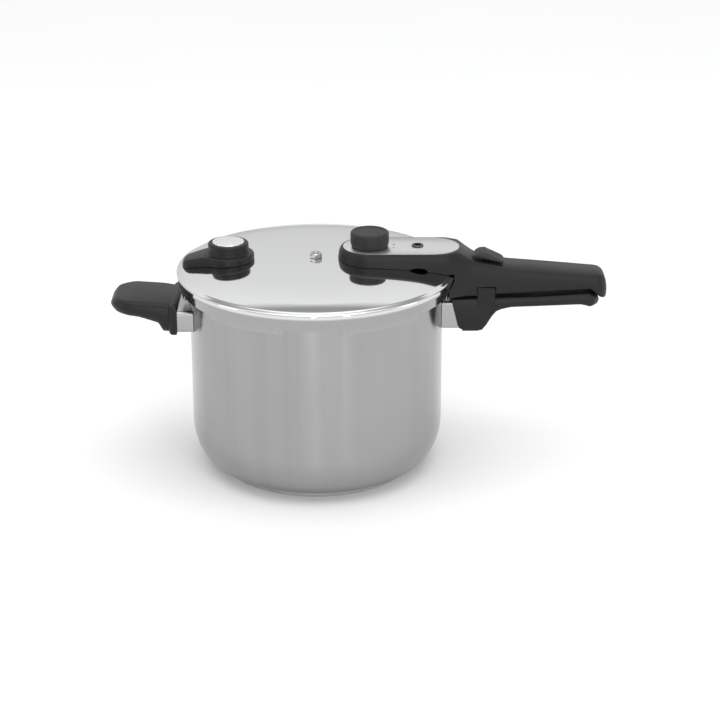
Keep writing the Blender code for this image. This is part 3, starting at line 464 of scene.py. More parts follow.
def raised(bm, cap, inset, level):
    """Steps a flat cap in and moves it to a level; returns the cap."""
    if inset > 0:
        bmesh.ops.inset_region(bm, faces=[cap], thickness=inset, use_even_offset=True)
    else:
        geometry = bmesh.ops.extrude_face_region(bm, geom=[cap] + list(cap.edges))["geom"]
        cap = next(item for item in geometry if isinstance(item, bmesh.types.BMFace))
    for vert in cap.verts:
        vert.co.z = level
    return cap


def moulded(outline, layers, under, over, spacing=0.004, crown=lambda x: 0.0):
    """A moulding drawn in plan. Its layers (inset, share of the height) run from the
    underside up, under and over give the height of its two surfaces along x, and crown
    gives how far the upper one falls 10 mm out from its middle."""
    bm = bmesh.new()
    widest = min(range(len(layers)), key=lambda i: layers[i][0])
    cap = bm.faces.new([bm.verts.new((x, y, layers[widest][1])) for x, y in outline])
    made = bmesh.ops.extrude_face_region(bm, geom=[cap])["geom"]
    top = next(item for item in made if isinstance(item, bmesh.types.BMFace))
    steps = layers[widest:]
    for vert in top.verts:
        vert.co.z = steps[1][1]
    bm.normal_update()
    bmesh.ops.recalc_face_normals(bm, faces=bm.faces)
    if steps[1][0] > steps[0][0]:
        middle = (steps[0][1] + steps[1][1]) / 2
        for vert in top.verts:
            vert.co.z = middle
    for (before, _), (inset, level) in zip(steps, steps[1:]):
        top = raised(bm, top, inset - before, level)
    below = layers[widest::-1]
    for (before, _), (inset, level) in zip(below, below[1:]):
        cap = raised(bm, cap, inset - before, level)
    xs = [x for x, _ in outline]
    cuts = int((max(xs) - min(xs)) / spacing)
    for i in range(1, cuts):
        place = (min(xs) + (max(xs) - min(xs)) * i / cuts, 0, 0)
        bmesh.ops.bisect_plane(bm, geom=bm.verts[:] + bm.edges[:] + bm.faces[:], dist=1e-5,
                               plane_co=place, plane_no=(1, 0, 0))
    for vert in bm.verts:
        low = under(vert.co.x)
        high = over(vert.co.x) - crown(vert.co.x) * (vert.co.y / 0.01) ** 2
        vert.co.z = low + (high - low) * vert.co.z
    return bm


def height_along(corners, facets=8):
    """The height at a given x on a line through rounded corners (x, z, radius)."""
    line = rounded(corners, False, facets)
    xs, zs = zip(*line)
    return lambda x: float(np.interp(x, xs, zs))


def mirrored(corners):
    """A closed plan from the corners on its +Y side, from its low x to its high x."""
    return [(x, -y, radius) for x, y, radius in corners] + corners[::-1]


def box(x, y, z):
    bm = bmesh.new()
    bmesh.ops.create_cube(bm, size=1.0)
    for vert in bm.verts:
        vert.co = Vector((x[vert.co.x > 0], y[vert.co.y > 0], z[vert.co.z > 0]))
    return bm


def drill(radius, low, high, x=0.0, y=0.0, facets=48):
    return turned([(0, high), (radius, high), (radius, low), (0, low)], facets, (x, y))


black_phenolic = phenolic("black_phenolic")
GRIP_LAYERS = [(0.0040, 0.0), (0.0024, 0.03), (0.0010, 0.12), (0.0002, 0.28), (0.0, 0.45),
               (0.0002, 0.66), (0.0008, 0.84), (0.0016, 0.94), (0.0026, 0.985), (0.0036, 1.0)]

STOP_INNER, STOP_OUTER, STOP_TOP = 0.1420, 0.1570, 0.1680
STOP_FRONT, STOP_BACK = 0.018, 0.0083
BRACKET_Z = (0.1407, 0.1438)
BRACKET_END_X = 0.1438
grip_low, grip_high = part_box("pot_handle")
plan = mirrored([(grip_low[0] - 0.006, 0.0180, 0), (grip_high[0] - 0.006, 0.0175, 0.0085),
                 (grip_high[0], 0.0090, 0.006)])
under_grip = height_along([(0.110, 0.1263, 0), (0.1462, 0.1263, 0.0075), (0.1568, 0.1455, 0.012),
                           (0.1700, 0.1488, 0.012), (0.2320, 0.1512, 0.010), (0.2395, 0.1490, 0.006),
                           (0.2460, 0.1494, 0.002), (0.251, 0.1520, 0)])
over_grip = height_along([(0.110, 0.1568, 0), (0.195, 0.1593, 0.05), (0.2385, 0.1622, 0.008),
                          (0.2470, 0.1588, 0.004), (0.251, 0.1543, 0)])
grip = make("pot_handle_moulding", moulded(rounded(plan), GRIP_LAYERS, under_grip, over_grip),
            black_phenolic)
root_top, root_low = grip_low[0], grip_low[0] + GUARD_SLANT
root = [(0.10, 0.120), (root_low + 0.0045, 0.120), (root_low + 0.0030, 0.1284),
        (root_low, 0.1302), (root_top + 0.0006, 0.1496), (root_top, 0.1530), (root_top, 0.165),
        (0.10, 0.165)]


def across(outline, half_width):
    """An outline in XZ extruded across Y."""
    bm = bmesh.new()
    face = bm.faces.new([bm.verts.new((x, -half_width, z)) for x, z in outline])
    made = bmesh.ops.extrude_face_region(bm, geom=[face])["geom"]
    bmesh.ops.translate(bm, verts=[item for item in made if isinstance(item, bmesh.types.BMVert)],
                        vec=(0, 2 * half_width, 0))
    bmesh.ops.recalc_face_normals(bm, faces=bm.faces)
    return bm


def ring_sector(inner, outer, front, back, facets=6):
    """A plan between two radii round the pot's axis and between two lines across it."""
    first, last = -math.degrees(math.asin(front / inner)), -math.degrees(math.asin(back / outer))
    return (arc((0, 0), outer, first, last, facets) + arc((0, 0), inner, last, first, facets))


carve(grip, across(root, 0.03))
carve(grip, plate(ring_sector(STOP_INNER, STOP_OUTER, STOP_FRONT, STOP_BACK), 0.150, STOP_TOP), "UNION")
carve(grip, box((0.105, BRACKET_END_X + 0.0003), (-0.0084, 0.0084), BRACKET_Z))
screw_low, screw_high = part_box("pot_handle_screw")
screw_x = (screw_low[0] + screw_high[0]) / 2
carve(grip, drill(0.0023, 0.12, screw_high[2] + 0.0004, screw_x))
carve(grip, drill(0.0043, 0.12, screw_low[2] + 0.0025, screw_x))
fit(grip, "pot", "black_plastic", "pot_handle")


# The helper handle: a broad moulded ear across the far side of the pot, on the same kind of
# bracket, with a raised collar where it meets its sleeve.

ear_low, ear_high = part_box("helper_handle")
EAR_LAYERS = [(0.0080, 0.0), (0.0046, 0.04), (0.0022, 0.14), (0.0006, 0.32), (0.0, 0.52),
              (0.0003, 0.72), (0.0012, 0.87), (0.0026, 0.955), (0.0042, 0.99), (0.0060, 1.0)]
plan = mirrored([(ear_low[0], 0.0300, 0.0210), (ear_high[0], 0.0312, 0)])
under_ear = height_along([(ear_low[0], 0.1482, 0), (ear_low[0] + 0.006, 0.1458, 0.004),
                          (-0.1540, 0.1436, 0.03), (-0.1360, 0.1375, 0.004), (-0.1332, 0.1300, 0.002),
                          (-0.120, 0.1296, 0)])
over_ear = height_along([(ear_low[0], 0.1556, 0), (ear_low[0] + 0.005, 0.1590, 0.006),
                         (-0.1600, 0.1600, 0.04), (-0.1345, 0.1582, 0.03), (-0.120, 0.1555, 0)])
ear = make("helper_handle_moulding", moulded(rounded(plan, facets=16), EAR_LAYERS, under_ear,
                                              over_ear, crown=lambda x: 0.0002), black_phenolic)
collar = mirrored([(ear_high[0] - 0.0072, 0.0336, 0.0035), (ear_high[0], 0.0336, 0)])
COLLAR_LAYERS = [(0.0012, 0.0), (0.0003, 0.04), (0.0, 0.1), (0.0, 0.86), (0.0004, 0.94), (0.0014, 0.985),
                 (0.0026, 1.0)]
collar = moulded(rounded(collar), COLLAR_LAYERS, lambda x: 0.1296, lambda x: 0.1574, 0.001,
                 lambda x: 0.00018)
carve(ear, collar, "UNION")
EAR_BRACKET_Z = (0.1402, 0.1433)
carve(ear, box((-0.1440, -0.105), (-0.0223, 0.0223), EAR_BRACKET_Z))
for node in ("helper_screw_front", "helper_screw_back"):
    low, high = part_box(node)
    x, y = (low[0] + high[0]) / 2, (low[1] + high[1]) / 2
    carve(ear, drill(0.0023, 0.12, high[2] + 0.0004, x, y))
    carve(ear, drill(0.0043, 0.12, low[2] + 0.0025, x, y))
fit(ear, "pot", "black_plastic", "helper_handle")


# Screws: steel pan heads with a cross recess, rolled thread on the shank. Each stands head
# down, under its handle or inside the lid.

SHANK_RADIUS = 0.002
HEAD_HEIGHT = 0.0022
threaded_steel = drawn_steel("threaded_screw_steel", 0.58, 0.32, pitch=0.0007)


def pan_screw(node, body):
    low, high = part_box(node)
    x, y = (low[0] + high[0]) / 2, (low[1] + high[1]) / 2
    head = (high[0] - low[0]) / 2
    line = rounded([(0, low[2], 0), (head, low[2], 0.0013), (head, low[2] + HEAD_HEIGHT, 0.0002),
                    (SHANK_RADIUS, low[2] + HEAD_HEIGHT, 0.0001), (SHANK_RADIUS, high[2], 0.0004),
                    (0, high[2], 0)], False)
    made = make(node + "_pan_head", turned(line[::-1], 36, (x, y)), threaded_steel)
    for along, wide in ((0.0020, 0.0004), (0.0004, 0.0020)):
        carve(made, box((x - along, x + along), (y - wide, y + wide), (low[2] - 0.001, low[2] + 0.0011)))
    fit(made, body, "plain_steel", node)


for node in ("pot_handle_screw", "helper_screw_front", "helper_screw_back"):
    pan_screw(node, "pot")
for node in ("lid_handle_screw_1", "lid_handle_screw_2", "lid_handle_screw_3", "aux_handle_screw"):
    pan_screw(node, "lid")


# The sealing ring: grey silicone with an upper and a lower lip that the steam presses apart.

def silicone(name, colour):
    rubber = Finish(name, specular_ior_level=0.35, sheen_weight=0.15)
    dust = rubber.noise(rubber.place, 420.0, 4.0, 0.65)
    cloud = rubber.noise(rubber.place, 40.0, 2.0)
    rubber.drive("Base Color", rubber.mix(cloud * 0.6 + dust * 0.4, grey(colour * 0.86, 0.004),
                                          grey(colour * 1.1, 0.006)))
    rubber.drive("Roughness", dust * 0.18 + 0.46)
    rubber.bump(dust, 0.3, 0.00005)
    return rubber


grey_silicone = silicone("grey_silicone", 0.42)
low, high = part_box("sealing_ring")
ring_out = high[1]
ring_in = ring_out - 0.0105
seal = rounded([(ring_in, high[2] - 0.0006, 0.0005), (ring_out - 0.0012, high[2], 0.0010),
                (ring_out, high[2] - 0.0014, 0.0010), (ring_out, low[2], 0.0009),
                (ring_in, low[2], 0.0006), (ring_in, low[2] + 0.0018, 0.0006),
                (ring_out - 0.0032, low[2] + 0.0020, 0.0010), (ring_out - 0.0032, high[2] - 0.0020, 0.0010),
                (ring_in, high[2] - 0.0022, 0.0005)])
fit(make("silicone_lip_ring", turned(seal, 144), grey_silicone), "ring", "silicone", "sealing_ring")
for node in ("valve_seal", "indicator_seal", "safety_seal"):
    frame["nodes"][node].data.materials[0] = grey_silicone.material


# The lid: a pressed dome polished to a mirror. Its edge rolls over into a groove, a bead and
# a skirt, and the skirt ends in six lugs between six notches.

lid_low, lid_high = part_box("lid_shell")
LID_RADIUS = lid_high[1]
DOME_TOP_Z = lid_high[2]
DOME_RISE = 0.0075
DOME_ROUND = 0.6
SKIRT_LOW_Z = lid_low[2]
SKIRT_RADIUS = LID_RADIUS - 0.0042
DOME_RADIUS = SKIRT_RADIUS - 0.0015
DOME_EDGE_Z = DOME_TOP_Z - DOME_RISE
NOTCH_HEIGHT = 0.0037
LUG_RADIUS = 0.1126


def dome_z(radius, under=0.0):
    """Height of the dome's outer surface, or of the one a thickness under it."""
    share = radius / DOME_RADIUS
    return DOME_TOP_Z - under - DOME_RISE * (DOME_ROUND * share ** 2 + (1 - DOME_ROUND) * share ** 6)


bead_z = DOME_EDGE_Z - 0.0028


def mirror_lid_steel():
    """Buffed dome: a mirror with the faintest rings, wipe marks and one shallow wave. Below the bead the
    skirt's colour is painted darker as painted shade, and the skirt is made a little rougher.
    """
    steel = Finish("mirror_lid_steel", metallic=1.0)
    radius = steel.distance(0.0, 0.0)
    near = radius + 0.004
    around = steel.vector(steel.x / near * 3, steel.y / near * 3, (radius - steel.z) * 1800)
    rings = steel.noise(around, 1.0, 2.0, 0.6)
    wipes = steel.noise(steel.vector(steel.x * 26, steel.y * 60, steel.z * 20), 1.0, 5.0, 0.62)
    cloud = steel.noise(steel.place, 9.0, 2.0)
    # painted shade: from the bead down, the skirt's colour falls to 0.36 against about 0.68 on the dome; the
    # skirt is also made a little rougher
    skirt = steel.range(steel.z, bead_z - 0.0015, bead_z - 0.0035)
    bare = steel.mix(cloud, grey(0.66, -0.002), grey(0.70, -0.001))
    steel.drive("Base Color", steel.mix(skirt, bare, grey(0.36, 0.001)))
    steel.drive("Roughness", rings * 0.025 + wipes * 0.05 + cloud * 0.02 + skirt * 0.05 + 0.012)
    steel.bump(cloud + rings * 0.02, 0.25, 0.00008)
    return steel


radii = [DOME_RADIUS * i / 24 for i in range(25)]
dome = [(radius, dome_z(radius)) for radius in radii[:-1]]
edge_line = rounded([(radii[-2], dome_z(radii[-2]), 0), (DOME_RADIUS + 0.0012, DOME_EDGE_Z - 0.0001, 0.006),
                     (DOME_RADIUS + 0.0022, DOME_EDGE_Z - 0.0007, 0.0003),
                     (LID_RADIUS, DOME_EDGE_Z - 0.0018, 0.0017),
                     (LID_RADIUS - 0.0007, bead_z - 0.0042, 0.003),
                     (SKIRT_RADIUS, SKIRT_LOW_Z + 0.004, 0)], False)[1:]
skirt = [(SKIRT_RADIUS, SKIRT_LOW_Z + 0.0012), (SKIRT_RADIUS, SKIRT_LOW_Z),
         (SKIRT_RADIUS - SHEET, SKIRT_LOW_Z), (SKIRT_RADIUS - SHEET, SKIRT_LOW_Z + 0.0012),
         (SKIRT_RADIUS - SHEET, SKIRT_LOW_Z + 0.004)]
inner = rounded([(SKIRT_RADIUS - SHEET, SKIRT_LOW_Z + 0.004, 0),
                 (LID_RADIUS - 0.0021, bead_z - 0.0040, 0.003), (LID_RADIUS - 0.0031, bead_z, 0.001),
                 (DOME_RADIUS, DOME_EDGE_Z - 2 * SHEET, 0.002),
                 (DOME_RADIUS - 0.008, dome_z(DOME_RADIUS - 0.008, SHEET), 0)], False)[1:]
hollow = [(radius, dome_z(radius, SHEET)) for radius in radii[21::-3]]
lid = turned(dome + edge_line + skirt + inner + hollow)
fold = [face for face in lid.faces
        if SKIRT_LOW_Z + 0.0002 < face.calc_center_median().z < SKIRT_LOW_Z + 0.0011
        and math.hypot(*face.calc_center_median().xy) < SKIRT_RADIUS - SHEET / 2
        and in_sector(face.calc_center_median(), 12.2)]
pull(lid, fold, out_to(LUG_RADIUS))
lid_piece = make("lid_pressed_dome", lid, mirror_lid_steel(), 38)
for i in range(SECTORS):
    angle = math.radians(360 / SECTORS * (i + 0.5))
    half = math.radians(14)
    notch = rounded([(0.114, -0.114 * half, 0.0), (0.126, -0.126 * half, 0.0),
                     (0.126, 0.126 * half, 0.0), (0.114, 0.114 * half, 0.0)])
    tool = plate(notch, SKIRT_LOW_Z - 0.01, SKIRT_LOW_Z + NOTCH_HEIGHT)
    upright = [edge for edge in tool.edges if abs(edge.verts[0].co.y - edge.verts[1].co.y) < 0.002
               and edge.verts[0].co.z > SKIRT_LOW_Z and edge.verts[1].co.z > SKIRT_LOW_Z]
    bmesh.ops.bevel(tool, geom=upright, offset=0.0022, segments=4, profile=0.5, affect="EDGES",
                    material=-1)
    bmesh.ops.rotate(tool, verts=tool.verts, matrix=Matrix.Rotation(angle, 3, "Z"))
    carve(lid_piece, tool, sharp=38)
lid_holes = []
for node, radius in (("safety_valve_body", 0.0040), ("valve_body", 0.0050), ("indicator_pin", 0.0039),
                     ("lid_handle_screw_1", 0.0023), ("lid_handle_screw_2", 0.0023),
                     ("lid_handle_screw_3", 0.0023), ("aux_handle_screw", 0.0023)):
    low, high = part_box(node)
    x, y = (low[0] + high[0]) / 2, (low[1] + high[1]) / 2
    carve(lid_piece, drill(radius, 0.17, 0.21, x, y), sharp=38)
fit(lid_piece, "lid", "mirror_steel", "lid_shell")


# The lid's handle: one black moulding. Its hollow head covers the valves and lies on the dome,
# the neck dips under the lock slider, and the grip ends in a hook over the pot's grip.

head_low, head_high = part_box("lid_handle")
plate_low, plate_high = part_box("cover_plate")
HEAD_TOP_Z = head_high[2]
HEAD_WIDTH = head_high[1]
PLATE_WIDTH = plate_high[1]
FIT = 0.0003
END_X = head_high[0]
HEAD_LAYERS = [(0.0016, 0.0), (0.0007, 0.03), (0.0002, 0.12), (0.0, 0.34), (0.0, 0.50), (0.0003, 0.66),
               (0.0008, 0.80), (0.0015, 0.90), (0.0024, 0.965), (0.0033, 0.992), (0.0042, 1.0)]
front = head_low[0]
nose = front + HEAD_WIDTH
neck = mirrored([(nose, HEAD_WIDTH, 0), (0.1135, HEAD_WIDTH, 0.022), (0.1300, 0.0202, 0.030),
                 (0.1600, 0.0180, 0.060), (END_X, 0.0172, 0.0105)])
neck = rounded(neck, False, 16)
plan = neck[:-1] + arc((nose, 0), HEAD_WIDTH, 90, 270, 40)[:-1]
under_head = height_along([(0.0, 0.176, 0), (0.1150, 0.176, 0), (0.1153, 0.1605, 0),
                           (0.1400, 0.1605, 0), (0.1950, 0.1641, 0.05), (0.2395, 0.1664, 0.003),
                           (0.2475, 0.1586, 0.002), (0.2512, 0.1568, 0.002), (0.256, 0.1568, 0)])
over_head = height_along([(0.0, HEAD_TOP_Z, 0), (0.1240, HEAD_TOP_Z, 0.012), (0.1375, 0.1930, 0.016),
                          (0.1650, 0.1870, 0.06), (0.2050, 0.1838, 0.10), (0.2475, 0.1801, 0.011),
                          (0.2538, 0.1745, 0.008), (0.2550, 0.1655, 0), (0.256, 0.160, 0)])
crown_head = height_along([(0.0, 0.0, 0), (0.1240, 0.0, 0), (0.1420, 0.0011, 0), (0.2600, 0.0011, 0)])
head = make("lid_handle_moulding", moulded(plan, HEAD_LAYERS, under_head, over_head, 0.003,
                                           crown_head), black_phenolic)


def lid_space():
    """What the lid takes up under the handles, with the fit round it."""
    line = [(radius, dome_z(radius) + FIT) for radius in radii]
    line += [(LID_RADIUS + FIT, DOME_EDGE_Z), (LID_RADIUS + FIT, bead_z - 0.0040),
             (SKIRT_RADIUS + FIT, SKIRT_LOW_Z + 0.004), (SKIRT_RADIUS + FIT, 0.15), (0, 0.15)]
    return turned(line)


def stadium(half_width, first_x, last_x, facets=32):
    return arc((first_x, 0), half_width, 90, 270, facets) + arc((last_x, 0), half_width, -90, 90, facets)


carve(head, lid_space())
plate_first, plate_last = plate_low[0] + PLATE_WIDTH, plate_high[0] - PLATE_WIDTH
carve(head, plate(stadium(PLATE_WIDTH + FIT, plate_first, plate_last), plate_low[2] - FIT, 0.21))
knob_low, knob_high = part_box("pressure_knob")
KNOB_X = (knob_low[0] + knob_high[0]) / 2
pin_low, pin_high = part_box("indicator_pin")
PIN_X = (pin_low[0] + pin_high[0]) / 2
HEAD_ROOF_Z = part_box("window_ring")[0][2] - FIT
carve(head, drill(0.011, 0.17, HEAD_ROOF_Z, KNOB_X))
carve(head, drill(0.0039, 0.17, 0.21, KNOB_X))
carve(head, drill(0.0066, 0.17, HEAD_ROOF_Z, PIN_X))
carve(head, drill(0.0046, 0.17, 0.21, PIN_X))
for node in ("lid_handle_screw_1", "lid_handle_screw_2", "lid_handle_screw_3"):
    low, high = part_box(node)
    carve(head, drill(0.0023, 0.17, high[2] + FIT, (low[0] + high[0]) / 2, (low[1] + high[1]) / 2))
outlet = [(PIN_X - 0.008, 0.17), (PIN_X + 0.008, 0.17)]
outlet += arc((PIN_X, dome_z(0.0925)), (0.008, 0.0026), 0, 180, 16)
tool = across(outlet, 0.02)
bmesh.ops.translate(tool, verts=tool.verts, vec=(0, -0.023, 0))
carve(head, tool)
PLAY = 0.0008
carve(head, plate(ring_sector(STOP_INNER - PLAY, STOP_OUTER + PLAY, 0.04, STOP_BACK - FIT), 0.15,
                  STOP_TOP + PLAY))


# The lock: a moulded slider on the neck that draws a steel bolt back against a spring. It runs
# down the slope of the neck, in a slot.

joints = {joint["name"]: joint for joint in frame["joints"]}
slope = math.asin(-joints["lock_slide"]["axis"][2])
bolt_low, bolt_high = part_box("lock_bolt")
slider_low, slider_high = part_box("lock_slider")
lock_place = Matrix.Translation((0.151, 0, 0.190)) @ Matrix.Rotation(slope, 4, "Y")
BOLT_DEPTH = 0.0062
BOLT_SHEET = 0.0015
LOCK_TRAVEL = 0.008


def in_lock_frame(bm):
    bmesh.ops.transform(bm, verts=bm.verts, matrix=lock_place)
    return bm


carve(head, in_lock_frame(box((-0.0034, 0.0034 + LOCK_TRAVEL), (-0.0034, 0.0034), (-0.0072, 0.02))))
carve(head, in_lock_frame(box((-0.0133, 0.0133 + LOCK_TRAVEL), (-0.0103, 0.0103), (FIT, 0.02))))
channel = -BOLT_DEPTH - BOLT_SHEET / 2
carve(head, in_lock_frame(box((-0.0244, 0.020), (-0.0054, 0.0054), (channel - 0.0012, channel + 0.0012))))
fit(head, "lid", "black_plastic", "lid_handle")

SLIDER_HALF = 0.0130
SLIDER_WIDE = 0.0100
over_slider = height_along([(-SLIDER_HALF, 0.0016, 0), (-SLIDER_HALF + 0.0034, 0.0044, 0.002),
                            (-SLIDER_HALF + 0.0080, 0.0060, 0.0018),
                            (-SLIDER_HALF + 0.0120, 0.0050, 0.003), (SLIDER_HALF, 0.0018, 0)])
SLIDER_LAYERS = [(0.0004, 0.0), (0.0, 0.15), (0.0, 0.5), (0.0004, 0.78), (0.0012, 0.94), (0.0022, 1.0)]
plan = mirrored([(-SLIDER_HALF, SLIDER_WIDE, 0.004), (SLIDER_HALF, SLIDER_WIDE, 0.004)])
slider = moulded(rounded(plan), SLIDER_LAYERS, lambda x: 0.0006, over_slider, 0.0012)
slider = make("lock_slider_moulding", in_lock_frame(slider), phenolic("slider_phenolic", 0.026, 0.5))
for i in range(4):
    x = -SLIDER_HALF + 0.0136 + 0.0024 * i
    groove = box((x, x + 0.0009), (-0.0072, 0.0072), (over_slider(x) - 0.0004, 0.02))
    carve(slider, in_lock_frame(groove))
stem = box((-0.0030, 0.0030), (-0.0030, 0.0030), (-BOLT_DEPTH + FIT, 0.0015))
carve(slider, in_lock_frame(stem), "UNION")
fit(slider, "lock", "black_plastic", "lock_slider")
frame["nodes"]["lock_bolt"].data.materials[0] = plain_steel.material


# Springs: drawn steel wire coiled cold, for the regulator and the safety valve. The real ones shorten as their
# valves lift; these coils keep their rest length and ride on the lid.

spring_steel = drawn_steel("spring_wire_steel", 0.50, 0.30)


def coil(name, node, radius, wire, turns, low, high, x=0.0):
    """A round wire wound upright from low to high, at a fixed length."""
    place = Matrix.Translation((x, 0, 0))
    curve = bpy.data.curves.new(name, "CURVE")
    curve.dimensions = "3D"
    curve.bevel_depth = wire
    curve.bevel_resolution = 3
    curve.use_fill_caps = True
    count = turns * 24 + 1
    path = curve.splines.new("POLY")
    path.points.add(count - 1)
    for i, point in enumerate(path.points):
        turn = math.tau * i / 24
        z = low + wire + (high - low - 2 * wire) * i / (count - 1)
        point.co = (radius * math.cos(turn), radius * math.sin(turn), z, 1)
    guide = bpy.data.objects.new(name + "_guide", curve)
    bpy.context.scene.collection.objects.link(guide)
    bpy.context.view_layer.update()
    mesh = bpy.data.meshes.new_from_object(guide.evaluated_get(bpy.context.evaluated_depsgraph_get()))
    bpy.data.objects.remove(guide)
    bm = bmesh.new()
    bm.from_mesh(mesh)
    bmesh.ops.remove_doubles(bm, verts=bm.verts, dist=1e-6)
    bmesh.ops.transform(bm, verts=bm.verts, matrix=place)
    spring = fit(make(name, bm, spring_steel), "lid", "plain_steel", node)
    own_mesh(spring)


low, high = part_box("valve_spring")
coil("valve_coil", "valve_spring", 0.0022, 0.00035, 5, low[2], high[2], KNOB_X)
low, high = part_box("safety_spring")
coil("safety_coil", "safety_spring", 0.0020, 0.00022, 6, low[2], high[2])


# The cover plate: a thin stainless plate let into the head, brushed lengthwise. It has a hole
# for the knob's shaft, one for the window, and three printed dots for the knob's settings.

def brushed_plate():
    steel = Finish("brushed_plate_steel", metallic=1.0, anisotropic=0.2)
    lines = steel.noise(steel.vector(steel.x * 60, steel.y * 5200, steel.z * 40), 1.0, 3.0, 0.6)
    cloud = steel.noise(steel.place, 60.0, 2.0)
    bare = steel.mix(lines, grey(0.60), grey(0.74))
    printed = None
    for angle, size in ((-38, 0.0006), (-14, 0.0009), (10, 0.0012)):
        x = KNOB_X + 0.0215 * math.cos(math.radians(angle))
        y = 0.0215 * math.sin(math.radians(angle))
        dot = steel.distance(x, y) < size
        printed = dot if printed is None else printed + dot
    steel.drive("Base Color", steel.mix(printed, bare, grey(0.05)))
    steel.drive("Metallic", 1 - printed)
    steel.drive("Roughness", lines * 0.14 + cloud * 0.06 + 0.22)
    steel.bump(lines, 0.18, 0.00003)
    return steel


def edge_between(edges, low, high):
    return [edge for edge in edges if all(low < vert.co.z < high for vert in edge.verts)]


cover = plate(stadium(PLATE_WIDTH, plate_first, plate_last), plate_low[2], plate_high[2])
rim_edges = edge_between(cover.edges, plate_high[2] - 1e-5, plate_high[2] + 1e-5)
bmesh.ops.bevel(cover, geom=rim_edges, offset=0.00025, segments=2, profile=0.5, affect="EDGES",
                material=-1)
cover = make("cover_plate_brushed", cover, brushed_plate())
carve(cover, drill(0.0039, 0.19, 0.21, KNOB_X))
carve(cover, drill(0.0046, 0.19, 0.21, PIN_X))
fit(cover, "lid", "brushed_steel", "cover_plate")


# The indicator: a black pin that steam pushes up through a polished ring in the plate, sealed
# in the lid by a silicone grommet.

bright_steel = polished_steel("bright_ring_steel", 0.78, 0.10)
low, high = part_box("window_ring")
WINDOW_RADIUS = high[1]
line = rounded([(0.0032, high[2], 0.0003), (WINDOW_RADIUS, high[2], 0.0005),
                (WINDOW_RADIUS, high[2] - 0.0009, 0.0001), (WINDOW_RADIUS - 0.0009, high[2] - 0.0009, 0.0001),
                (WINDOW_RADIUS - 0.0009, low[2], 0.0002), (0.0032, low[2], 0.0002)], True, 5)
# painted shade: the bezel is polished steel coloured nearly black (0.10) to stand in for shade; the bright
# copy made above at 0.78 is not used
fit(make("window_bezel", turned(line, 64, (PIN_X, 0)), polished_steel("painted_shade_ring_steel", 0.10, 0.22)), "lid", "mirror_steel", "window_ring")

COLLAR_Z = 0.1878
PIN_RADIUS = 0.0021
line = rounded([(0, pin_high[2], 0), (PIN_RADIUS, pin_high[2], 0.0007), (PIN_RADIUS, COLLAR_Z + 0.001, 0.0002),
                (0.0032, COLLAR_Z + 0.001, 0.0002), (0.0032, COLLAR_Z, 0.0002), (PIN_RADIUS, COLLAR_Z, 0.0001),
                (PIN_RADIUS, pin_low[2] + 0.001, 0.0001), (0.0040, pin_low[2] + 0.001, 0.0003),
                (0.0040, pin_low[2], 0.0003), (0, pin_low[2], 0)], False, 4)
fit(make("indicator_moulded_pin", turned(line, 40, (PIN_X, 0)), phenolic("pin_phenolic", 0.02, 0.34)),
    "indicator", "black_plastic", "indicator_pin")


# The pressure knob: a matt black cap with a moulded pointer, on a shaft whose cam sets the load of the
# regulator's spring. Its side is turned smooth, without the fine ribs of the real knob.

def knob_phenolic():
    black = Finish("knob_phenolic", specular_ior_level=0.26)
    grain = black.noise(black.place, 2300.0, 2.0, 0.7)
    flow = black.noise(black.place, 60.0, 3.0)
    black.drive("Base Color", black.mix(flow, grey(0.018, -0.001), grey(0.028)))
    black.drive("Roughness", grain * 0.14 + flow * 0.06 + 0.40)
    black.bump(grain, 0.4, 0.00006)
    return black


KNOB_RADIUS = knob_high[1]
KNOB_LOW_Z = 0.2009
line = rounded([(0, knob_high[2] - 0.0006, 0), (0.0128, knob_high[2] - 0.0006, 0.0004),
                (0.0136, knob_high[2], 0.0008), (KNOB_RADIUS, knob_high[2], 0.0022),
                (KNOB_RADIUS, KNOB_LOW_Z + 0.0032, 0.001), (KNOB_RADIUS - 0.0009, KNOB_LOW_Z, 0.0005),
                (0.0035, KNOB_LOW_Z, 0.0003), (0.0035, knob_low[2], 0.0003), (0, knob_low[2], 0)], False, 6)
knob = make("pressure_knob_cap", turned(line, 120, (KNOB_X, 0)), knob_phenolic())
pointer = math.radians(-38)
tip = rounded([(0.0085, -0.0008, 0.0006), (0.0120, 0.0, 0.0004), (0.0085, 0.0008, 0.0006)])
marker = plate(tip, knob_high[2] - 0.002, knob_high[2] - 0.0003)
bmesh.ops.rotate(marker, verts=marker.verts, matrix=Matrix.Rotation(pointer, 3, "Z"))
bmesh.ops.translate(marker, verts=marker.verts, vec=(KNOB_X, 0, 0))
carve(knob, marker, "UNION")
fit(knob, "knob", "black_plastic", "pressure_knob")


# The regulator and the safety valve: turned steel bodies held in the lid by hexagonal nuts,
# each with a sprung plunger or pin that lets go when the pressure is too high.

def hexagon(radius, low, high, x=0.0):
    """A hexagonal bar with flat ends, which the callers chamfer by cutting it to a turned barrel."""
    bm = bmesh.new()
    bmesh.ops.create_cone(bm, cap_ends=True, segments=6, radius1=radius, radius2=radius,
                          depth=high - low)
    bmesh.ops.translate(bm, verts=bm.verts, vec=(x, 0, (low + high) / 2))
    return bm


def nut(name, node, radius, bore_radius, finish, body="lid", x=0.0):
    low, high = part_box(node)
    made = make(name, hexagon(radius, low[2], high[2], x), finish)
    drop = (radius - radius * math.cos(math.pi / 6)) * 0.6
    barrel = rounded([(0, high[2], 0), (radius * 0.9, high[2], 0), (radius, high[2] - drop, 0),
                      (radius, low[2] + drop, 0), (radius * 0.9, low[2], 0), (0, low[2], 0)], False)
    carve(made, turned(barrel, 48, (x, 0)), "INTERSECT")
    carve(made, drill(bore_radius, low[2] - 0.01, high[2] + 0.01, x))
    return fit(made, body, "plain_steel", node)


nut("valve_hex_nut", "valve_nut", 0.0088, 0.0050, plain_steel, x=KNOB_X)
nut("safety_hex_nut", "safety_nut", 0.0072, 0.0040, plain_steel)

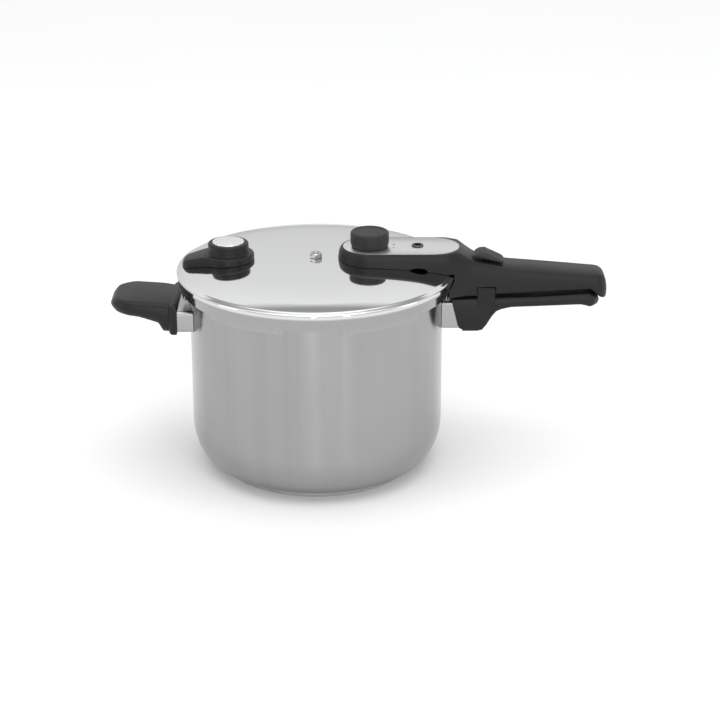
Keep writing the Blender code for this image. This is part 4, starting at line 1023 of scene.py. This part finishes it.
safety_low, safety_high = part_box("safety_valve_body")
SAFETY_SEAT_Z = DOME_TOP_Z + FIT
SAFETY_HEX = 0.0058
safety = make("safety_valve_hexagon", hexagon(SAFETY_HEX, SAFETY_SEAT_Z, safety_high[2]),
              polished_steel("valve_hex_steel", 0.42, 0.16))
barrel = rounded([(0, safety_high[2], 0), (0.0046, safety_high[2], 0.0004),
                  (SAFETY_HEX, safety_high[2] - 0.0009, 0.0003), (SAFETY_HEX, SAFETY_SEAT_Z, 0),
                  (0, SAFETY_SEAT_Z, 0)], False)
carve(safety, turned(barrel, 64), "INTERSECT")
carve(safety, drill(0.0037, safety_low[2], SAFETY_SEAT_Z + 0.002), "UNION")
carve(safety, drill(0.0026, safety_low[2] - 0.01, safety_high[2] - 0.001))
carve(safety, turned([(0, safety_high[2] + 0.01), (0.0034, safety_high[2] + 0.01),
                      (0.0034, safety_high[2] - 0.0001), (0.0019, safety_high[2] - 0.0008),
                      (0.0019, safety_high[2] - 0.004), (0, safety_high[2] - 0.004)], 48))
fit(safety, "lid", "mirror_steel", "safety_valve_body")

low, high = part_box("safety_pin")
line = rounded([(0, high[2], 0), (0.0015, high[2], 0.0007), (0.0015, low[2] + 0.0012, 0.0001),
                (0.0022, low[2] + 0.0012, 0.0002), (0.0022, low[2], 0.0002), (0, low[2], 0)], False)
fit(make("safety_turned_pin", turned(line, 32), plain_steel), "safety", "plain_steel", "safety_pin")
for node in ("safety_seat", "valve_body", "valve_plunger"):
    frame["nodes"][node].data.materials[0] = plain_steel.material


# The auxiliary handle: a round moulding with a tongue out to the rim, held by a screw from
# inside the lid, and finished with a spun steel disc.

aux_low, aux_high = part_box("aux_handle")
cap_low, cap_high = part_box("aux_cap")
AUX_X = (cap_low[0] + cap_high[0]) / 2
AUX_RADIUS = aux_high[1]
AUX_TOP_Z = aux_high[2]
COLLAR_RADIUS = 0.0177
STEP_Z = 0.1948
CAP_RADIUS = cap_high[1]
line = rounded([(0, AUX_TOP_Z - 0.0006, 0), (CAP_RADIUS + FIT, AUX_TOP_Z - 0.0006, 0),
                (CAP_RADIUS + FIT, AUX_TOP_Z, 0.0003), (COLLAR_RADIUS, AUX_TOP_Z, 0.0018),
                (COLLAR_RADIUS, STEP_Z, 0.0012), (AUX_RADIUS, STEP_Z, 0.0022),
                (AUX_RADIUS, 0.1888, 0.004), (AUX_RADIUS - 0.0030, 0.1790, 0), (0, 0.1790, 0)], False, 6)
aux = make("aux_handle_moulding", turned(line, 120, (AUX_X, 0)), black_phenolic)
tongue_plan = mirrored([(aux_low[0], 0.0100, 0.0092), (AUX_X - 0.016, 0.0170, 0.02), (AUX_X, 0.0170, 0)])
over_tongue = height_along([(aux_low[0], 0.1886, 0), (aux_low[0] + 0.003, 0.1898, 0.003),
                            (AUX_X - 0.020, STEP_Z - 0.0006, 0.03), (AUX_X, STEP_Z - 0.0002, 0)])
TONGUE_LAYERS = [(0.0, 0.0), (0.0, 0.5), (0.0003, 0.78), (0.0010, 0.91), (0.0022, 0.98), (0.0034, 1.0)]
tongue = moulded(rounded(tongue_plan, facets=12), TONGUE_LAYERS, lambda x: 0.1790, over_tongue, 0.003)
carve(aux, tongue, "UNION")
carve(aux, lid_space())
low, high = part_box("aux_handle_screw")
carve(aux, drill(0.0023, 0.17, high[2] + FIT, AUX_X))
fit(aux, "lid", "black_plastic", "aux_handle")

spun_steel = turned_steel("spun_disc_steel", 0.80, 0.20, 2400, axis=(AUX_X, 0.0), anisotropic=0.3)
line = rounded([(0, cap_high[2], 0), (CAP_RADIUS, cap_high[2], 0.0006), (CAP_RADIUS, cap_low[2], 0.0002),
                (0, cap_low[2], 0)], False)
fit(make("aux_spun_disc", turned(line, 96, (AUX_X, 0)), spun_steel), "lid", "brushed_steel", "aux_cap")


# The stage: a plain white floor under a bright, even studio sky, with soft boxes to both
# sides and overhead, and the camera a little above the handles.

def studio_sky():
    world = bpy.data.worlds.new("studio")
    bpy.context.scene.world = world
    world.use_nodes = True
    tree = world.node_tree
    back = tree.nodes["Background"]
    place = tree.nodes.new("ShaderNodeTexCoord")
    ramp = tree.nodes.new("ShaderNodeValToRGB")
    split = tree.nodes.new("ShaderNodeSeparateXYZ")
    tree.links.new(place.outputs["Generated"], split.inputs[0])
    tree.links.new(split.outputs[2], ramp.inputs[0])
    tree.links.new(ramp.outputs[0], back.inputs[0])
    stops = ((0.0, 0.62), (0.12, 0.78), (0.40, 0.95), (0.615, 1.12), (0.66, 0.40), (0.80, 0.60), (0.88, 1.55))
    elements = ramp.color_ramp.elements
    while len(elements) < len(stops):
        elements.new(0.5)
    for element, (position, value) in zip(elements, stops):
        element.position = position
        element.color = grey(value, -0.004)
    back.inputs[1].default_value = 1.0


def soft_box(name, place, aim, width, height, power):
    data = bpy.data.lights.new(name, "AREA")
    data.shape = "RECTANGLE"
    data.size = width
    data.size_y = height
    data.energy = power
    lamp = bpy.data.objects.new(name, data)
    lamp.location = place
    lamp.rotation_euler = (Vector(aim) - Vector(place)).to_track_quat("-Z", "Y").to_euler()
    bpy.context.scene.collection.objects.link(lamp)


studio_sky()
soft_box("overhead_box", (0.1, -0.3, 1.8), (0, 0, 0), 1.2, 1.2, 5)
soft_box("left_box", (-1.5, -0.5, 0.7), (0, 0, 0.1), 0.5, 1.4, 2.5)
soft_box("front_strip", (-0.03, -2.6, 0.9), (0, 0, 0.05), 0.10, 2.4, 12)
soft_box("side_strip", (1.15, -2.4, 0.9), (0, 0, 0.05), 0.12, 2.4, 9)
soft_box("right_box", (1.6, -0.3, 0.7), (0, 0, 0.1), 0.4, 1.4, 2.5)

white = Finish("floor_white", roughness=0.9)
paper = white.noise(white.place, 3.0, 2.0)
white.drive("Base Color", white.mix(paper, grey(0.90), grey(0.92)))
ground = bmesh.new()
bmesh.ops.create_grid(ground, x_segments=1, y_segments=1, size=9.0)
floor = make("floor", ground, white)

camera = bpy.data.cameras.new("camera")
camera.lens = 98.15
camera.sensor_width = 36.0
view = bpy.data.objects.new("camera", camera)
PITCH = math.radians(22.1)
DISTANCE = 1.75
AIM = Vector((0.0384, 0, 0.093))
view.location = AIM - DISTANCE * Vector((0, math.cos(PITCH), -math.sin(PITCH)))
view.rotation_euler = (math.pi / 2 - PITCH, 0, 0)
bpy.context.scene.collection.objects.link(view)
bpy.context.scene.camera = view
bpy.context.scene.view_settings.view_transform = "Standard"
